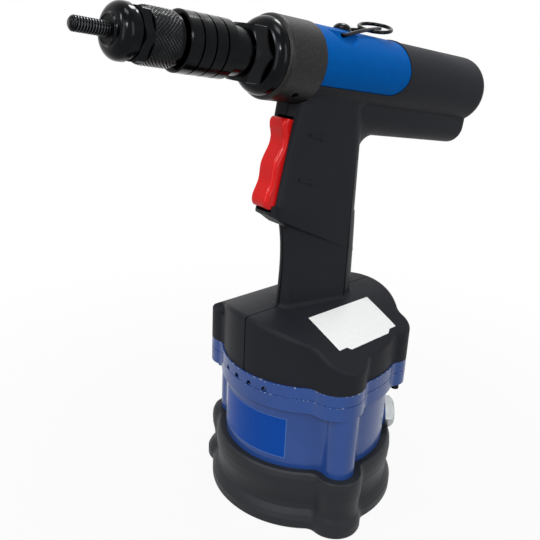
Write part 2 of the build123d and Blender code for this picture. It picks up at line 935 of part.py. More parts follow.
def saddle_window(grow):
    """Side outline of the saddle, grown outward, open at the front and over the top."""
    rear, low, corner = saddle_rear - grow, -saddle_drop - grow, saddle_corner + grow
    top = 2 * head_radius
    with BuildSketch(HEAD) as window:
        with BuildLine():
            Polyline(
                (rear, low + corner),
                (rear, top),
                (head_front, top),
                (head_front, low),
                (rear + corner, low),
            )
            ThreePointArc(
                (rear + corner, low),
                (rear + corner * (1 - sqrt(0.5)), low + corner * (1 - sqrt(0.5))),
                (rear, low + corner),
            )
        make_face()
    return window.sketch


with BuildPart() as saddle_cover:
    add(head_ring(saddle_rear, grip_front, casting_radius + gap, barrel_radius))
    extrude(saddle_window(0), amount=2 * head_radius, both=True, mode=Mode.INTERSECT)
    for side in (-1, 1):
        with BuildPart(mode=Mode.PRIVATE) as scoop:
            with BuildSketch(across(saddle_rear)):
                with Locations((side * scoop_out, scoop_up)):
                    Circle(scoop_radius)
            extrude(amount=saddle_length)
            with BuildSketch(HEAD):
                with BuildLine():
                    Polyline(
                        (hanger_station + scoop_outline[0][0] + scoop_run, barrel_radius),
                        *[(hanger_station + along, hanger_up + rise) for along, rise in scoop_outline],
                        (hanger_station + scoop_outline[-1][0] - scoop_run, barrel_radius),
                        close=True,
                    )
                make_face()
            extrude(amount=2 * barrel_radius, both=True, mode=Mode.INTERSECT)
        add(scoop.part, mode=Mode.SUBTRACT)
    foot_tip = hanger_out - hanger_foot
    for side in (-1, 1):
        with BuildSketch(Plane(
            origin=head_point(hanger_station, side * (foot_tip - gap), hanger_up), z_dir=(0, -side, 0)
        )):
            Circle(hanger_wire + clearance)
        extrude(amount=barrel_radius, mode=Mode.SUBTRACT)
    with BuildSketch(Plane(origin=head_point(plug_station, 0, 0), z_dir=HEAD.y_dir)):
        Circle(plug_shank_radius + clearance)
    extrude(amount=2 * barrel_radius, mode=Mode.SUBTRACT)
write(saddle_cover, "saddle_cover")

# Bleed plug: domed head and a shank through the saddle
with BuildPart() as bleed_plug:
    with BuildSketch(Plane(origin=head_point(plug_station, 0, 0), x_dir=forward, z_dir=(0, 1, 0))):
        with BuildLine():
            seat = barrel_radius + clearance
            Polyline(
                (plug_head_radius, seat),
                (plug_shank_radius, seat),
                (plug_shank_radius, seat - plug_depth + gap),
                (0, seat - plug_depth + gap),
                (0, seat + plug_head_height),
            )
            ThreePointArc(
                (0, seat + plug_head_height),
                (plug_head_radius * edge_swell, seat + plug_head_height * edge_swell),
                (plug_head_radius, seat),
            )
        make_face()
    revolve(axis=Axis(head_point(plug_station, 0, 0), HEAD.y_dir))
write(bleed_plug, "bleed_plug")

# Hanger: one wire from foot to foot, bent round a ring
with BuildPart() as hanger:
    ring_tilt = radians(hanger_ring_tilt)
    ring_place = (hanger_station - hanger_ring_back, hanger_up + hanger_ring_up)
    ring_corner = hanger_ring / cos(pi / hanger_ring_sides)

    def ring_point(turn):
        """Corner of the ring's polygon, turn measured from the front of the ring."""
        reach = ring_corner * cos(turn)
        return head_point(
            ring_place[0] + reach * cos(ring_tilt),
            ring_corner * sin(turn),
            ring_place[1] - reach * sin(ring_tilt),
        )

    def leg(side):
        """Foot, corner, knee and neck of one leg."""
        neck_back = hanger_ring_back - hanger_ring * cos(ring_tilt) * hanger_neck_share
        return [
            head_point(hanger_station, side * foot_tip, hanger_up),
            head_point(hanger_station, side * hanger_out, hanger_up),
            head_point(
                hanger_station - hanger_knee_back,
                side * hanger_knee_out,
                hanger_up + hanger_knee_up,
            ),
            head_point(
                hanger_station - neck_back,
                side * hanger_neck_out,
                hanger_up + hanger_ring_up - hanger_ring * sin(ring_tilt),
            ),
        ]

    turns = [2 * pi * step / hanger_ring_sides for step in range(1, hanger_ring_sides)]
    with BuildLine():
        corners = leg(1) + [ring_point(turn) for turn in turns] + leg(-1)[::-1]
        FilletPolyline(*corners, radius=hanger_bend)
    with BuildSketch(Plane(origin=leg(1)[0], z_dir=(0, -1, 0))):
        Circle(hanger_wire)
    sweep()
write(hanger, "hanger")


def handle_section(ends, height, nose_width, nose_round, palm_round, slope):
    """Egg-shaped section of the handle, its plane dipping toward the rear."""
    dip = radians(slope)
    front, rear = ends
    length = (rear - front) / cos(dip)
    corner = nose_width - nose_round
    run, rise = length - palm_round - nose_round, -corner
    spread = atan2(rise, run) + acos((nose_round - palm_round) / hypot(run, rise))

    def nose(angle, side):
        return (nose_round * (1 + cos(angle)), side * (corner + nose_round * sin(angle)))

    def palm(angle, side):
        return (length - palm_round * (1 - cos(angle)), side * palm_round * sin(angle))

    with BuildSketch(Plane(
        origin=(front, 0, height),
        x_dir=(cos(dip), 0, -sin(dip)),
        z_dir=(sin(dip), 0, cos(dip)),
    )) as outline:
        with BuildLine():
            Line(nose(pi, -1), nose(pi, 1))
            ThreePointArc(nose(pi, 1), nose((pi + spread) / 2, 1), nose(spread, 1))
            Line(nose(spread, 1), palm(spread, 1))
            ThreePointArc(palm(spread, 1), palm(spread / 2, 1), palm(0, 1))
            ThreePointArc(palm(0, 1), palm(spread / 2, -1), palm(spread, -1))
            Line(palm(spread, -1), nose(spread, -1))
            ThreePointArc(nose(spread, -1), nose((pi + spread) / 2, -1), nose(pi, -1))
        make_face()
    return outline.sketch


# Handle form, used by the grip and by the strip let into its back
with BuildPart() as handle_form:
    loft(sections=[
        handle_section(ends, height, handle_nose_width, handle_nose_round, handle_palm_round, 0)
        for ends, height in zip(handle_ends, handle_heights)
    ])
    loft(sections=[
        handle_section(
            throat_ends, head_height - throat_drop, throat_width, body_round,
            handle_palm_round, throat_slope_angle,
        ),
        handle_section(
            shoulder_ends, head_height - shoulder_drop, shoulder_width, body_round,
            handle_palm_round, shoulder_slope_angle,
        ),
        handle_section(
            crown_ends, head_height - crown_drop, crown_width, body_round,
            crown_palm_round, head_tilt,
        ),
    ], ruled=True)
    with BuildPart(mode=Mode.PRIVATE) as lip:
        with BuildSketch(Plane.XZ):
            with BuildLine():
                Polyline(*[(x, head_height - drop) for x, drop in lip_outline], close=True)
            make_face()
        extrude(amount=lip_width, both=True)
        with BuildSketch(Plane.XY.offset(head_height - lip_outline[0][1])):
            with Locations((lip_outline[3][0], 0)):
                RectangleRounded(
                    4 * lip_width, 2 * lip_width, lip_round, align=(Align.MIN, Align.CENTER)
                )
        extrude(amount=4 * lip_width, mode=Mode.INTERSECT)
    add(lip.part)


def strip_form(inset):
    """Shell behind the core, over the strip's height, drawn in by an inset."""
    with BuildPart() as piece:
        with BuildSketch(Plane.XY.offset(strip_low + inset)):
            with Locations((strip_front + inset, 0)):
                Rectangle(
                    2 * handle_palm_round,
                    3 * handle_palm_round,
                    align=(Align.MIN, Align.CENTER),
                )
            with Locations((strip_core_place, 0)):
                Circle(strip_core_radius + inset, mode=Mode.SUBTRACT)
        extrude(amount=strip_high - strip_low - 2 * inset)
    return piece.part


with BuildPart() as back_strip:
    add(handle_form.part)
    add(strip_form(strip_gap), mode=Mode.INTERSECT)
write(back_strip, "back_strip")


def side_cylinder(x, z, radius, low, high):
    """Plain cylinder square to the side view, between two distances to the far side."""
    with BuildPart() as piece:
        with BuildSketch(Plane(origin=(x, low, z), z_dir=(0, 1, 0))):
            Circle(radius)
        extrude(amount=high - low)
    return piece.part


def trigger_block(low, high, rear, front, half_width):
    """Block in the trigger's own frame."""
    with BuildPart() as piece:
        with BuildSketch(TRIGGER):
            with Locations(((low + high) / 2, (rear + front) / 2)):
                Rectangle(high - low, front - rear)
        extrude(amount=half_width, both=True)
    return piece.part


def edges_within(piece, place, low, high):
    """Edges whose middles lie inside a box given by two corners in a plane's own frame."""
    return [
        edge for edge in piece.edges()
        if all(
            least < at < most
            for least, at, most in zip(low, tuple(place.to_local_coords(edge.center())), high)
        )
    ]


def lobe_section(station, half_width):
    """Section of the lobe under the motor barrel."""
    with BuildSketch(across(station)) as outline:
        with BuildLine():
            low = half_width - lobe_drop
            Polyline((-half_width, low), (-half_width, 0), (half_width, 0), (half_width, low))
            ThreePointArc((half_width, low), (0, -lobe_drop), (-half_width, low))
        make_face()
    return outline.sketch


# Whole grip: cover over the base, handle, motor barrel and lobe, before it is split
with BuildPart() as grip:
    extrude(lobed_plan(cover_bottom, cover_radius, 0), amount=cover_crown - cover_bottom)
    with BuildSketch(Plane.YZ):
        with Locations((0, cover_crown - cover_roof_radius)):
            Circle(cover_roof_radius)
    extrude(amount=2 * cover_radius, both=True, mode=Mode.INTERSECT)
    round_off(grip.faces().filter_by(GeomType.CYLINDER).sort_by(Axis.Z)[-1].edges(), cover_edge)
    add(handle_form.part)
    add(head_cylinder_solid(barrel_rear, grip_front, barrel_radius))
    fillet(grip.edges().filter_by(GeomType.CIRCLE).sort_by(HEAD_AXIS)[0], barrel_end_round)
    loft(sections=[lobe_section(lobe_rear, lobe_rear_width), lobe_section(lobe_front, lobe_front_width)])
    # Rounds: handle to barrel, handle to cover, rear end of the lobe
    blend_half = crown_palm_round + edge_margin
    round_off(edges_within(
        grip,
        HEAD,
        (blend_rear, -lobe_drop - edge_margin, -blend_half),
        (blend_front, -barrel_radius / 2, blend_half),
    ), blend_round)
    round_off(edges_within(
        grip,
        Plane.XY.offset(cover_crown),
        (handle_ends[0][0] - edge_margin, -crown_palm_round, -2 * cove_round),
        (handle_ends[0][1] + edge_margin, crown_palm_round, edge_margin),
    ), cove_round)
    tail_half = lobe_rear_width + edge_margin
    round_off(edges_within(
        grip,
        HEAD,
        (lobe_rear - edge_margin, -lobe_drop - edge_margin, -tail_half),
        (lobe_rear + edge_margin, -barrel_radius * tail_share, tail_half),
    ), lobe_end_round)
    # Raised rim round the saddle
    with BuildPart(mode=Mode.PRIVATE) as rim:
        rim_radius = barrel_radius + saddle_rim_height
        add(head_ring(saddle_rear - saddle_corner, grip_front, casting_radius, rim_radius))
        rim_window = saddle_window(saddle_gap + saddle_rim_width)
        extrude(rim_window, amount=2 * head_radius, both=True, mode=Mode.INTERSECT)
    add(rim.part)
    extrude(saddle_window(saddle_gap), amount=2 * head_radius, both=True, mode=Mode.SUBTRACT)
    # Room for the head, the oil boss and tube, and the motor
    room = clearance
    add(head_cylinder_solid(casting_rear - gap, grip_front, casting_radius + room), mode=Mode.SUBTRACT)
    add(head_cylinder_solid(grip_front, cap_front, head_radius + gap), mode=Mode.SUBTRACT)
    add(head_cylinder_solid(rear_plate - gap, casting_rear, motor_radius + room), mode=Mode.SUBTRACT)
    add(head_cylinder_solid(barrel_rear + barrel_end_room, rear_plate, motor_bore), mode=Mode.SUBTRACT)
    add(base_ring(oil_boss_bottom - gap, head_height, 0, oil_boss_radius + room), mode=Mode.SUBTRACT)
    add(base_ring(cover_bottom, tube_top, 0, tube_radius + room), mode=Mode.SUBTRACT)
    cavity_top = cover_bottom + cover_cavity_height
    add(base_ring(cover_bottom, cavity_top, 0, cover_cavity_radius), mode=Mode.SUBTRACT)
    for angle in ear_angles:
        with BuildSketch(Plane.XY.offset(cover_bottom)):
            with Locations(polar(bolt_circle, angle)):
                Circle(bolt_head_radius + gap)
        extrude(amount=bolt_head_height + gap, mode=Mode.SUBTRACT)
    # Trigger slot, valve seat, pin hole, strip and screws
    add(trigger_block(
        -trigger_down - trigger_end_gap,
        trigger_up + trigger_end_gap,
        -valve_block_front,
        trigger_down,
        trigger_half_width + trigger_side_gap,
    ), mode=Mode.SUBTRACT)
    add(trigger_block(
        -valve_block_half_height - room,
        valve_block_half_height + room,
        -valve_block_rear - room,
        -valve_block_front + room,
        valve_block_half_width + room,
    ), mode=Mode.SUBTRACT)
    pivot = TRIGGER.from_local_coords((0, -trigger_pivot_in, 0))
    add(side_cylinder(pivot.X, pivot.Z, pin_radius + clearance / 2, -pin_half_length, pin_half_length),
        mode=Mode.SUBTRACT)
    add(strip_form(0), mode=Mode.SUBTRACT)
    for x, z, tip, seat in screw_places:
        add(side_cylinder(x, z, screw_radius + clearance, tip - gap, seat + gap), mode=Mode.SUBTRACT)
        add(side_cylinder(x, z, screw_head_radius + clearance, seat, cover_radius), mode=Mode.SUBTRACT)

SEAM = Plane.XZ
with BuildPart() as grip_near:
    add(grip.part)
    split(bisect_by=SEAM.offset(seam_gap / 2), keep=Keep.TOP)
write(grip_near, "grip_near")

with BuildPart() as grip_far:
    add(grip.part)
    split(bisect_by=SEAM.offset(-seam_gap / 2), keep=Keep.BOTTOM)
write(grip_far, "grip_far")

with BuildPart() as housing_screws:
    for x, z, tip, seat in screw_places:
        add(side_cylinder(x, z, screw_radius, tip, seat + screw_head_height))
        add(side_cylinder(x, z, screw_head_radius, seat, seat + screw_head_height))
        with BuildSketch(Plane(origin=(x, seat + screw_head_height, z), z_dir=(0, 1, 0))):
            RegularPolygon(screw_radius, 6)
        extrude(amount=-screw_head_height / 2, mode=Mode.SUBTRACT)
write(housing_screws, "housing_screws")

# Trigger: two finger scoops, rocking on a pin
with BuildPart() as trigger:
    with BuildSketch(TRIGGER):
        with BuildLine():
            Spline((trigger_up, trigger_end_out), *trigger_scoops, (-trigger_down, trigger_end_out))
            Polyline(
                (-trigger_down, trigger_end_out),
                (-trigger_down, -trigger_back),
                (trigger_up, -trigger_back),
                (trigger_up, trigger_end_out),
            )
        make_face()
    extrude(amount=trigger_half_width, both=True)
    front_face = trigger.faces().sort_by(Axis(TRIGGER.origin, TRIGGER.y_dir))[-1]
    fillet(front_face.edges(), trigger_edge)
    add(side_cylinder(pivot.X, pivot.Z, pin_radius + clearance / 2, -trigger_half_width, trigger_half_width),
        mode=Mode.SUBTRACT)
write(trigger, "trigger")

with BuildPart() as trigger_pin:
    add(side_cylinder(pivot.X, pivot.Z, pin_radius, gap - pin_half_length, pin_half_length - gap))
write(trigger_pin, "trigger_pin")

# Valve block with two stems that the trigger pushes
with BuildPart() as valve_block:
    add(trigger_block(
        -valve_block_half_height,
        valve_block_half_height,
        -valve_block_rear,
        -valve_block_front,
        valve_block_half_width,
    ))
    for side in (-1, 1):
        with BuildSketch(Plane(
            origin=TRIGGER.from_local_coords((side * valve_spread, -valve_block_front, 0)),
            z_dir=-TRIGGER.y_dir,
        )):
            Circle(valve_radius + clearance)
        extrude(amount=valve_block_rear - valve_block_front, mode=Mode.SUBTRACT)
write(valve_block, "valve_block")

for name, side in (("pull_valve", 1), ("reverse_valve", -1)):
    with BuildPart() as valve:
        with BuildSketch(Plane(
            origin=TRIGGER.from_local_coords((side * valve_spread, -trigger_back - gap, 0)),
            z_dir=-TRIGGER.y_dir,
        )):
            Circle(valve_radius)
        extrude(amount=valve_length)
    write(valve, name)

# Oil tube, ram seal and ram
with BuildPart() as oil_tube:
    tube_bore = ram_radius + clearance
    seal_low = flange_top + (plate_thickness - ram_seal_height) / 2
    seal_radius = ram_radius + ram_seal_depth
    add(upright(
        (tube_bore, flange_top),
        (tube_radius, flange_top),
        (tube_radius, cover_bottom),
        (tube_collar_radius, cover_bottom),
        (tube_collar_radius, cover_bottom + tube_collar_height),
        (tube_radius, cover_bottom + tube_collar_height),
        (tube_radius, tube_top),
        (tube_bore, tube_top),
        (tube_bore, seal_low + ram_seal_height),
        (seal_radius, seal_low + ram_seal_height),
        (seal_radius, seal_low),
        (tube_bore, seal_low),
    ))
write(oil_tube, "oil_tube")

with BuildPart() as ram_seal:
    add(base_ring(seal_low, seal_low + ram_seal_height, ram_radius + clearance / 2, seal_radius))
write(ram_seal, "ram_seal")

with BuildPart() as ram:
    add(base_ring(air_piston_top, ram_top, 0, ram_radius))
    add(base_ring(air_piston_bottom - ram_nut_height, air_piston_top, 0, ram_stud_radius))
write(ram, "ram")

with BuildPart() as ram_nut:
    with BuildSketch(Plane.XY.offset(air_piston_bottom - ram_nut_height)):
        RegularPolygon(ram_nut_across / 2, 6, major_radius=False)
        Circle(ram_stud_radius, mode=Mode.SUBTRACT)
    extrude(amount=ram_nut_height)
write(ram_nut, "ram_nut")

# Air piston and its seal
with BuildPart() as air_piston:
    air_radius = base_bore - clearance
    air_groove = air_piston_bottom + (air_piston_length - air_seal_width) / 2
    air_groove_radius = air_radius - air_seal_depth
    add(upright(
        (ram_stud_radius, air_piston_bottom),
        (air_radius, air_piston_bottom),
        (air_radius, air_groove),
        (air_groove_radius, air_groove),
        (air_groove_radius, air_groove + air_seal_width),
        (air_radius, air_groove + air_seal_width),
        (air_radius, air_piston_top),
        (ram_stud_radius, air_piston_top),
    ))
write(air_piston, "air_piston")

with BuildPart() as piston_seal:
    add(base_ring(air_groove, air_groove + air_seal_width, air_groove_radius, base_bore - clearance / 2))
write(piston_seal, "piston_seal")

with BuildPart() as piston_bumper:
    add(base_ring(cup_inside, bumper_top, bumper_inner, bumper_outer))
write(piston_bumper, "piston_bumper")

with BuildPart() as piston_spring:
    inset = piston_spring_wire + gap
    add(coil(
        Plane.XY.offset(air_piston_top + inset),
        piston_spring_radius,
        flange_top - air_piston_top - 2 * inset,
        piston_spring_turns,
        piston_spring_wire,
    ))
write(piston_spring, "piston_spring")

# Air cylinder: cup with an eared flange, one full-height boss and the inlet pad
inlet = radians(inlet_angle)
inlet_out = Vector(cos(inlet), sin(inlet), 0)


def inlet_plane(radius):
    """Plane square to the inlet at a radius from the upright axis."""
    return Plane(
        origin=(radius * inlet_out.X, radius * inlet_out.Y, inlet_height), x_dir=(0, 0, 1), z_dir=inlet_out
    )


with BuildPart() as air_cylinder:
    extrude(cup_plan(cup_bottom, 0), amount=flange_top - cup_bottom)
    extrude(lobed_plan(flange_bottom, flange_radius, 0), amount=flange_length)
    with BuildPart(mode=Mode.PRIVATE) as under_flange:
        with BuildSketch(Plane.XZ):
            with BuildLine():
                cove_low, cove_out = flange_bottom - cylinder_cove, cylinder_radius + cylinder_cove
                Polyline(
                    (cylinder_radius, cove_low),
                    (base_bore, cove_low),
                    (base_bore, flange_bottom),
                    (cove_out, flange_bottom),
                )
                ThreePointArc(
                    (cove_out, flange_bottom),
                    (cove_out - cylinder_cove * sqrt(0.5), cove_low + cylinder_cove * sqrt(0.5)),
                    (cylinder_radius, cove_low),
                )
            make_face()
        revolve(axis=Axis.Z)
    add(under_flange.part)
    with BuildSketch(inlet_plane(base_bore)):
        Circle(inlet_pad_radius)
    extrude(amount=cylinder_wall_base + inlet_pad)
    add(base_ring(cup_inside, flange_top, 0, base_bore), mode=Mode.SUBTRACT)
    for angle in ear_angles:
        with BuildSketch(Plane.XY.offset(flange_top)):
            with Locations(polar(bolt_circle, angle)):
                Circle(bolt_radius)
        extrude(amount=-flange_length - bolt_end - gap, mode=Mode.SUBTRACT)
    inlet_seat = cylinder_radius + inlet_pad
    inlet_root = inlet_seat + inlet_length - inlet_depth
    with BuildSketch(inlet_plane(inlet_root)):
        Circle(inlet_spigot_radius)
    extrude(amount=inlet_depth, mode=Mode.SUBTRACT)
    with BuildSketch(inlet_plane(base_bore - inlet_pad)):
        Circle(inlet_port_radius)
    extrude(amount=inlet_depth, mode=Mode.SUBTRACT)
write(air_cylinder, "air_cylinder")

with BuildPart() as air_inlet:
    with BuildSketch(inlet_plane(inlet_seat)):
        RegularPolygon(inlet_across / 2, 6, major_radius=False, rotation=30)
    extrude(amount=inlet_length)
    with BuildPart(mode=Mode.PRIVATE) as chamfered:
        corner_radius = inlet_across / sqrt(3)
        with BuildSketch(Plane(origin=inlet_plane(0).origin, x_dir=inlet_out, z_dir=(0, 0, 1))):
            with BuildLine():
                Polyline(
                    (inlet_seat, 0),
                    (inlet_seat, corner_radius),
                    (inlet_seat + inlet_length - inlet_chamfer, corner_radius),
                    (inlet_seat + inlet_length, corner_radius - inlet_chamfer),
                    (inlet_seat + inlet_length, 0),
                    close=True,
                )
            make_face()
        revolve(axis=Axis(inlet_plane(0).origin, inlet_out))
    add(chamfered.part, mode=Mode.INTERSECT)
    with BuildSketch(inlet_plane(inlet_seat)):
        Circle(inlet_spigot_radius)
    extrude(amount=inlet_root - inlet_seat)
    with BuildSketch(inlet_plane(inlet_seat + inlet_length)):
        Circle(inlet_thread_radius)
    extrude(amount=-inlet_depth, mode=Mode.SUBTRACT)
write(air_inlet, "air_inlet")

# Flange plate with the exhaust ports, and the felt behind them
with BuildPart() as flange_plate:
    extrude(lobed_plan(flange_top, flange_radius, plate_groove), amount=plate_groove)
    plate_low = flange_top + plate_groove
    extrude(lobed_plan(plate_low, flange_radius, 0), amount=plate_thickness - plate_groove)
    add(base_ring(flange_top, cover_bottom, 0, tube_radius), mode=Mode.SUBTRACT)
    for angle in ear_angles:
        with BuildSketch(Plane.XY.offset(flange_top)):
            with Locations(polar(bolt_circle, angle)):
                Circle(bolt_radius + clearance)
        extrude(amount=plate_thickness, mode=Mode.SUBTRACT)
    for index in range(port_count):
        turn = port_side_angle + (index - (port_count - 1) / 2) * port_pitch_angle
        heading = radians(turn)
        with BuildSketch(Plane(
            origin=(*polar(flange_radius - port_depth, turn), flange_top),
            x_dir=(-sin(heading), cos(heading), 0),
            z_dir=(cos(heading), sin(heading), 0),
        )):
            with Locations((0, port_height - port_width / 2)):
                Circle(port_width / 2)
            with Locations((0, (port_height - port_width / 2) / 2)):
                Rectangle(port_width, port_height - port_width / 2)
        extrude(amount=port_depth + gap, mode=Mode.SUBTRACT)
    felt_outer = flange_radius - port_depth + felt_depth
    felt_inner = felt_outer - felt_depth
    with BuildPart(mode=Mode.PRIVATE) as felt_form:
        with BuildSketch(Plane.XZ.rotated((0, 0, port_side_angle - felt_half_angle))):
            with Locations((felt_inner, flange_top)):
                Rectangle(felt_depth, port_height, align=(Align.MIN, Align.MIN))
        revolve(axis=Axis.Z, revolution_arc=2 * felt_half_angle)
    add(felt_form.part, mode=Mode.SUBTRACT)
write(flange_plate, "flange_plate")

with BuildPart() as exhaust_felt:
    add(felt_form.part)
write(exhaust_felt, "exhaust_felt")

with BuildPart() as tie_bolts:
    for angle in ear_angles:
        with BuildSketch(Plane.XY.offset(cover_bottom)):
            with Locations(polar(bolt_circle, angle)):
                Circle(bolt_radius)
        extrude(amount=-plate_thickness - flange_length - bolt_end)
        with BuildSketch(Plane.XY.offset(cover_bottom)):
            with Locations(polar(bolt_circle, angle)):
                Circle(bolt_head_radius)
                RegularPolygon(bolt_radius, 6, mode=Mode.SUBTRACT)
        extrude(amount=bolt_head_height)
write(tie_bolts, "tie_bolts")


def boot_section(height, out):
    """Plan of the boot at a height: round wall and two lobes, standing out by an amount."""
    with BuildSketch(Plane.XY.offset(height)) as plan:
        Circle(boot_outer + out)
        for circle, angle, radius, share in zip(boss_circles, boss_angles, boss_radii, boot_lobe_shares):
            with Locations(polar(circle, angle)):
                Circle(radius + clearance + boot_lobe_wall + share * out)
        fillet(plan.vertices(), boot_blend)
    return plan.sketch


with BuildPart() as base_boot:
    loft(sections=[boot_section(height, out) for height, out in boot_profile], ruled=True)
    extrude(cup_plan(boot_floor, clearance), amount=boot_height, mode=Mode.SUBTRACT)
    with BuildSketch(inlet_plane(base_bore)):
        Circle(inlet_across / sqrt(3) + clearance)
    extrude(amount=boot_outer, mode=Mode.SUBTRACT)
write(base_boot, "base_boot")
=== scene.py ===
# %% [markdown]
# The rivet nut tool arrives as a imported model: exact solids for every machined and moulded piece, each
# already in its place. Blender never moves them. This lesson gives each one the surface that its real
# counterpart has, adds the fine relief that is too small for the solids, and sets up a camera and soft
# light like those of a catalogue picture.

# %% Load the frame
import json
import math

import bpy
import numpy as np
from mathutils import Euler, Matrix, Vector
from mathutils.bvhtree import BVHTree


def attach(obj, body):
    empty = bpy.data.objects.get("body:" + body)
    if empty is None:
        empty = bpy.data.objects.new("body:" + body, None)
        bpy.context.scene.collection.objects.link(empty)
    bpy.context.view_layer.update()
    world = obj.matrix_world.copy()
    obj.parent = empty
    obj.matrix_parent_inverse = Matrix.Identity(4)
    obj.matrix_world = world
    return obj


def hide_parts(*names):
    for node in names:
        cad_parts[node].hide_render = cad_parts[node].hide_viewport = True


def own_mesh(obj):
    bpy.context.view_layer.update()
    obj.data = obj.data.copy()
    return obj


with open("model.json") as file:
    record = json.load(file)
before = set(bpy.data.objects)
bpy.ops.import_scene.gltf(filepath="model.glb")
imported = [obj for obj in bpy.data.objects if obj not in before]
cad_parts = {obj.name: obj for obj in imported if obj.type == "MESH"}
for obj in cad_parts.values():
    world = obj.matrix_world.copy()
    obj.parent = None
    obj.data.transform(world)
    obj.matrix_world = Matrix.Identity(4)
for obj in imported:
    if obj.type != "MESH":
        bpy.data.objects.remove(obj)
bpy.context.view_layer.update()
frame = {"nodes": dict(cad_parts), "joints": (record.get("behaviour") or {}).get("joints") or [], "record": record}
MM = 0.001
nodes = frame["nodes"]
print("pieces in the frame:", len(nodes))

# %% [markdown]
# Everything on the head shares one slanted line: the mandrel spins about it and the motor barrel is
# round about it. The joint of the mandrel already records that line, so it is read from there and not
# typed in again. A place on the head is then a station along the line, a radius and a turn from the top.

# %% Head line
joints = {joint["name"]: joint for joint in frame["joints"]}
head_forward = np.array(joints["mandrel_spin"]["axis"], float)
head_forward /= np.linalg.norm(head_forward)
far_side = np.array([0.0, 1.0, 0.0])
head_up = np.cross(far_side, head_forward)
spin_place = np.array(joints["mandrel_spin"]["pos_m"], float)
head_origin = spin_place - head_forward * spin_place[0] / head_forward[0]


def head_points(station, radius, turn):
    """Origin + station along the line + radius times (cos turn up, sin turn to the near side), in mm."""
    station, radius, turn = np.broadcast_arrays(station, radius, turn)
    along = station[..., None] * head_forward
    around = np.cos(turn)[..., None] * head_up - np.sin(turn)[..., None] * far_side
    return head_origin + MM * (along + radius[..., None] * around)


head_tilt = math.asin(head_forward[2])
print("head line tilt in degrees:", round(math.degrees(head_tilt), 2))

# %% [markdown]
# New pieces are grids of points. A grid becomes a mesh by joining each point to its neighbours with one
# four-sided face; a round piece also joins its last column to its first, and flat ends are one face
# each. Blender's primitives and modifiers could give some of these shapes, but a formula on a grid says
# where every point comes from and is easy to change.

# %% Grid to mesh
def grid_mesh(name, points, round_shape=False, ring_shape=False, keep=None):
    """Join neighbours; ring_shape closes the seam, round_shape the ends too, keep picks quads."""
    rows, columns = points.shape[:2]
    index = np.arange(rows * columns).reshape(rows, columns)
    closed = round_shape or ring_shape
    beside = np.roll(index, -1, axis=1) if closed else index[:, 1:]
    here = index if closed else index[:, :-1]
    quads = np.stack([here[:-1], beside[:-1], beside[1:], here[1:]], axis=-1)
    if keep is not None:
        quads = quads[keep]
    faces = quads.reshape(-1, 4).tolist()
    if round_shape:
        faces += [index[0, ::-1].tolist(), index[-1].tolist()]
    mesh = bpy.data.meshes.new(name)
    mesh.from_pydata(points.reshape(-1, 3), [], faces)
    mesh.polygons.foreach_set("use_smooth", np.ones(len(mesh.polygons), bool))
    piece = bpy.data.objects.new(name, mesh)
    bpy.context.scene.collection.objects.link(piece)
    print(name, "faces:", len(mesh.polygons))
    return piece


# %% [markdown]
# Colours are written as hex values, the way a picture editor shows them. The renderer works in linear
# light, so one function undoes the sRGB curve. A second adds one shader node with its settings and
# links.

# %% Colour and node helpers
def linear(hex_colour):
    """sRGB to linear light: c / 12.92 below 0.04045, else ((c + 0.055) / 1.055) to the power 2.4."""
    channels = [int(hex_colour[at:at + 2], 16) / 255 for at in (1, 3, 5)]
    return [c / 12.92 if c <= 0.04045 else ((c + 0.055) / 1.055) ** 2.4 for c in channels] + [1.0]


def add_node(tree, kind, inputs=None, **settings):
    """Add one node; settings are its properties, inputs maps each socket to a value or another socket."""
    made = tree.nodes.new(kind)
    for name, value in settings.items():
        setattr(made, name, value)
    for name, value in (inputs or {}).items():
        if isinstance(value, bpy.types.NodeSocket):
            tree.links.new(value, made.inputs[name])
        else:
            made.inputs[name].default_value = value
    return made


def new_material(name):
    """Empty node tree under a material's name."""
    made = bpy.data.materials.new(name)
    made.use_nodes = True
    made.node_tree.nodes.clear()
    print("finish:", name)
    return made, made.node_tree


def per_metre(size_mm):
    """Texture scale that makes one cell of a pattern this many millimetres wide."""
    return 1.0 / (size_mm * MM)


# %% [markdown]
# The nose is turned steel with a hot black oxide: a thin, dark, oiled skin of magnetite over polished
# metal. It reflects like metal but only a few percent, so it is a metal with a very dark colour.
# Handling leaves soft patches that are a little duller, about 6 mm across.

# %% Black oxide steel
black_oxide, tree = new_material("black_oxide_steel")
place = add_node(tree, "ShaderNodeTexCoord").outputs["Object"]
patches = add_node(tree, "ShaderNodeTexNoise", {"Vector": place, "Scale": per_metre(6.0), "Detail": 3.0})
shine = add_node(tree, "ShaderNodeMapRange", {
    "Value": patches.outputs["Fac"], "From Min": 0.35, "From Max": 0.7, "To Min": 0.13, "To Max": 0.24,
})
tone = add_node(tree, "ShaderNodeMix", {
    "Factor": patches.outputs["Fac"], "A": linear("#131415"), "B": linear("#1d1e20"),
}, data_type="RGBA")
lathe_place = add_node(tree, "ShaderNodeMapping", {
    "Vector": place, "Rotation": (0.0, head_tilt, 0.0),
    "Scale": (per_metre(0.5), per_metre(60), per_metre(60)),
})
lathe_marks = add_node(tree, "ShaderNodeTexNoise", {
    "Vector": lathe_place.outputs["Vector"], "Scale": 1.0,
})
bump = add_node(tree, "ShaderNodeBump", {
    "Height": lathe_marks.outputs["Fac"], "Strength": 0.12, "Distance": 0.05 * MM,
})
surface = add_node(tree, "ShaderNodeBsdfPrincipled", {
    "Base Color": tone.outputs["Result"], "Roughness": shine.outputs["Result"], "Metallic": 1.0,
    "Normal": bump.outputs["Normal"],
})
add_node(tree, "ShaderNodeOutputMaterial", {"Surface": surface.outputs["BSDF"]})

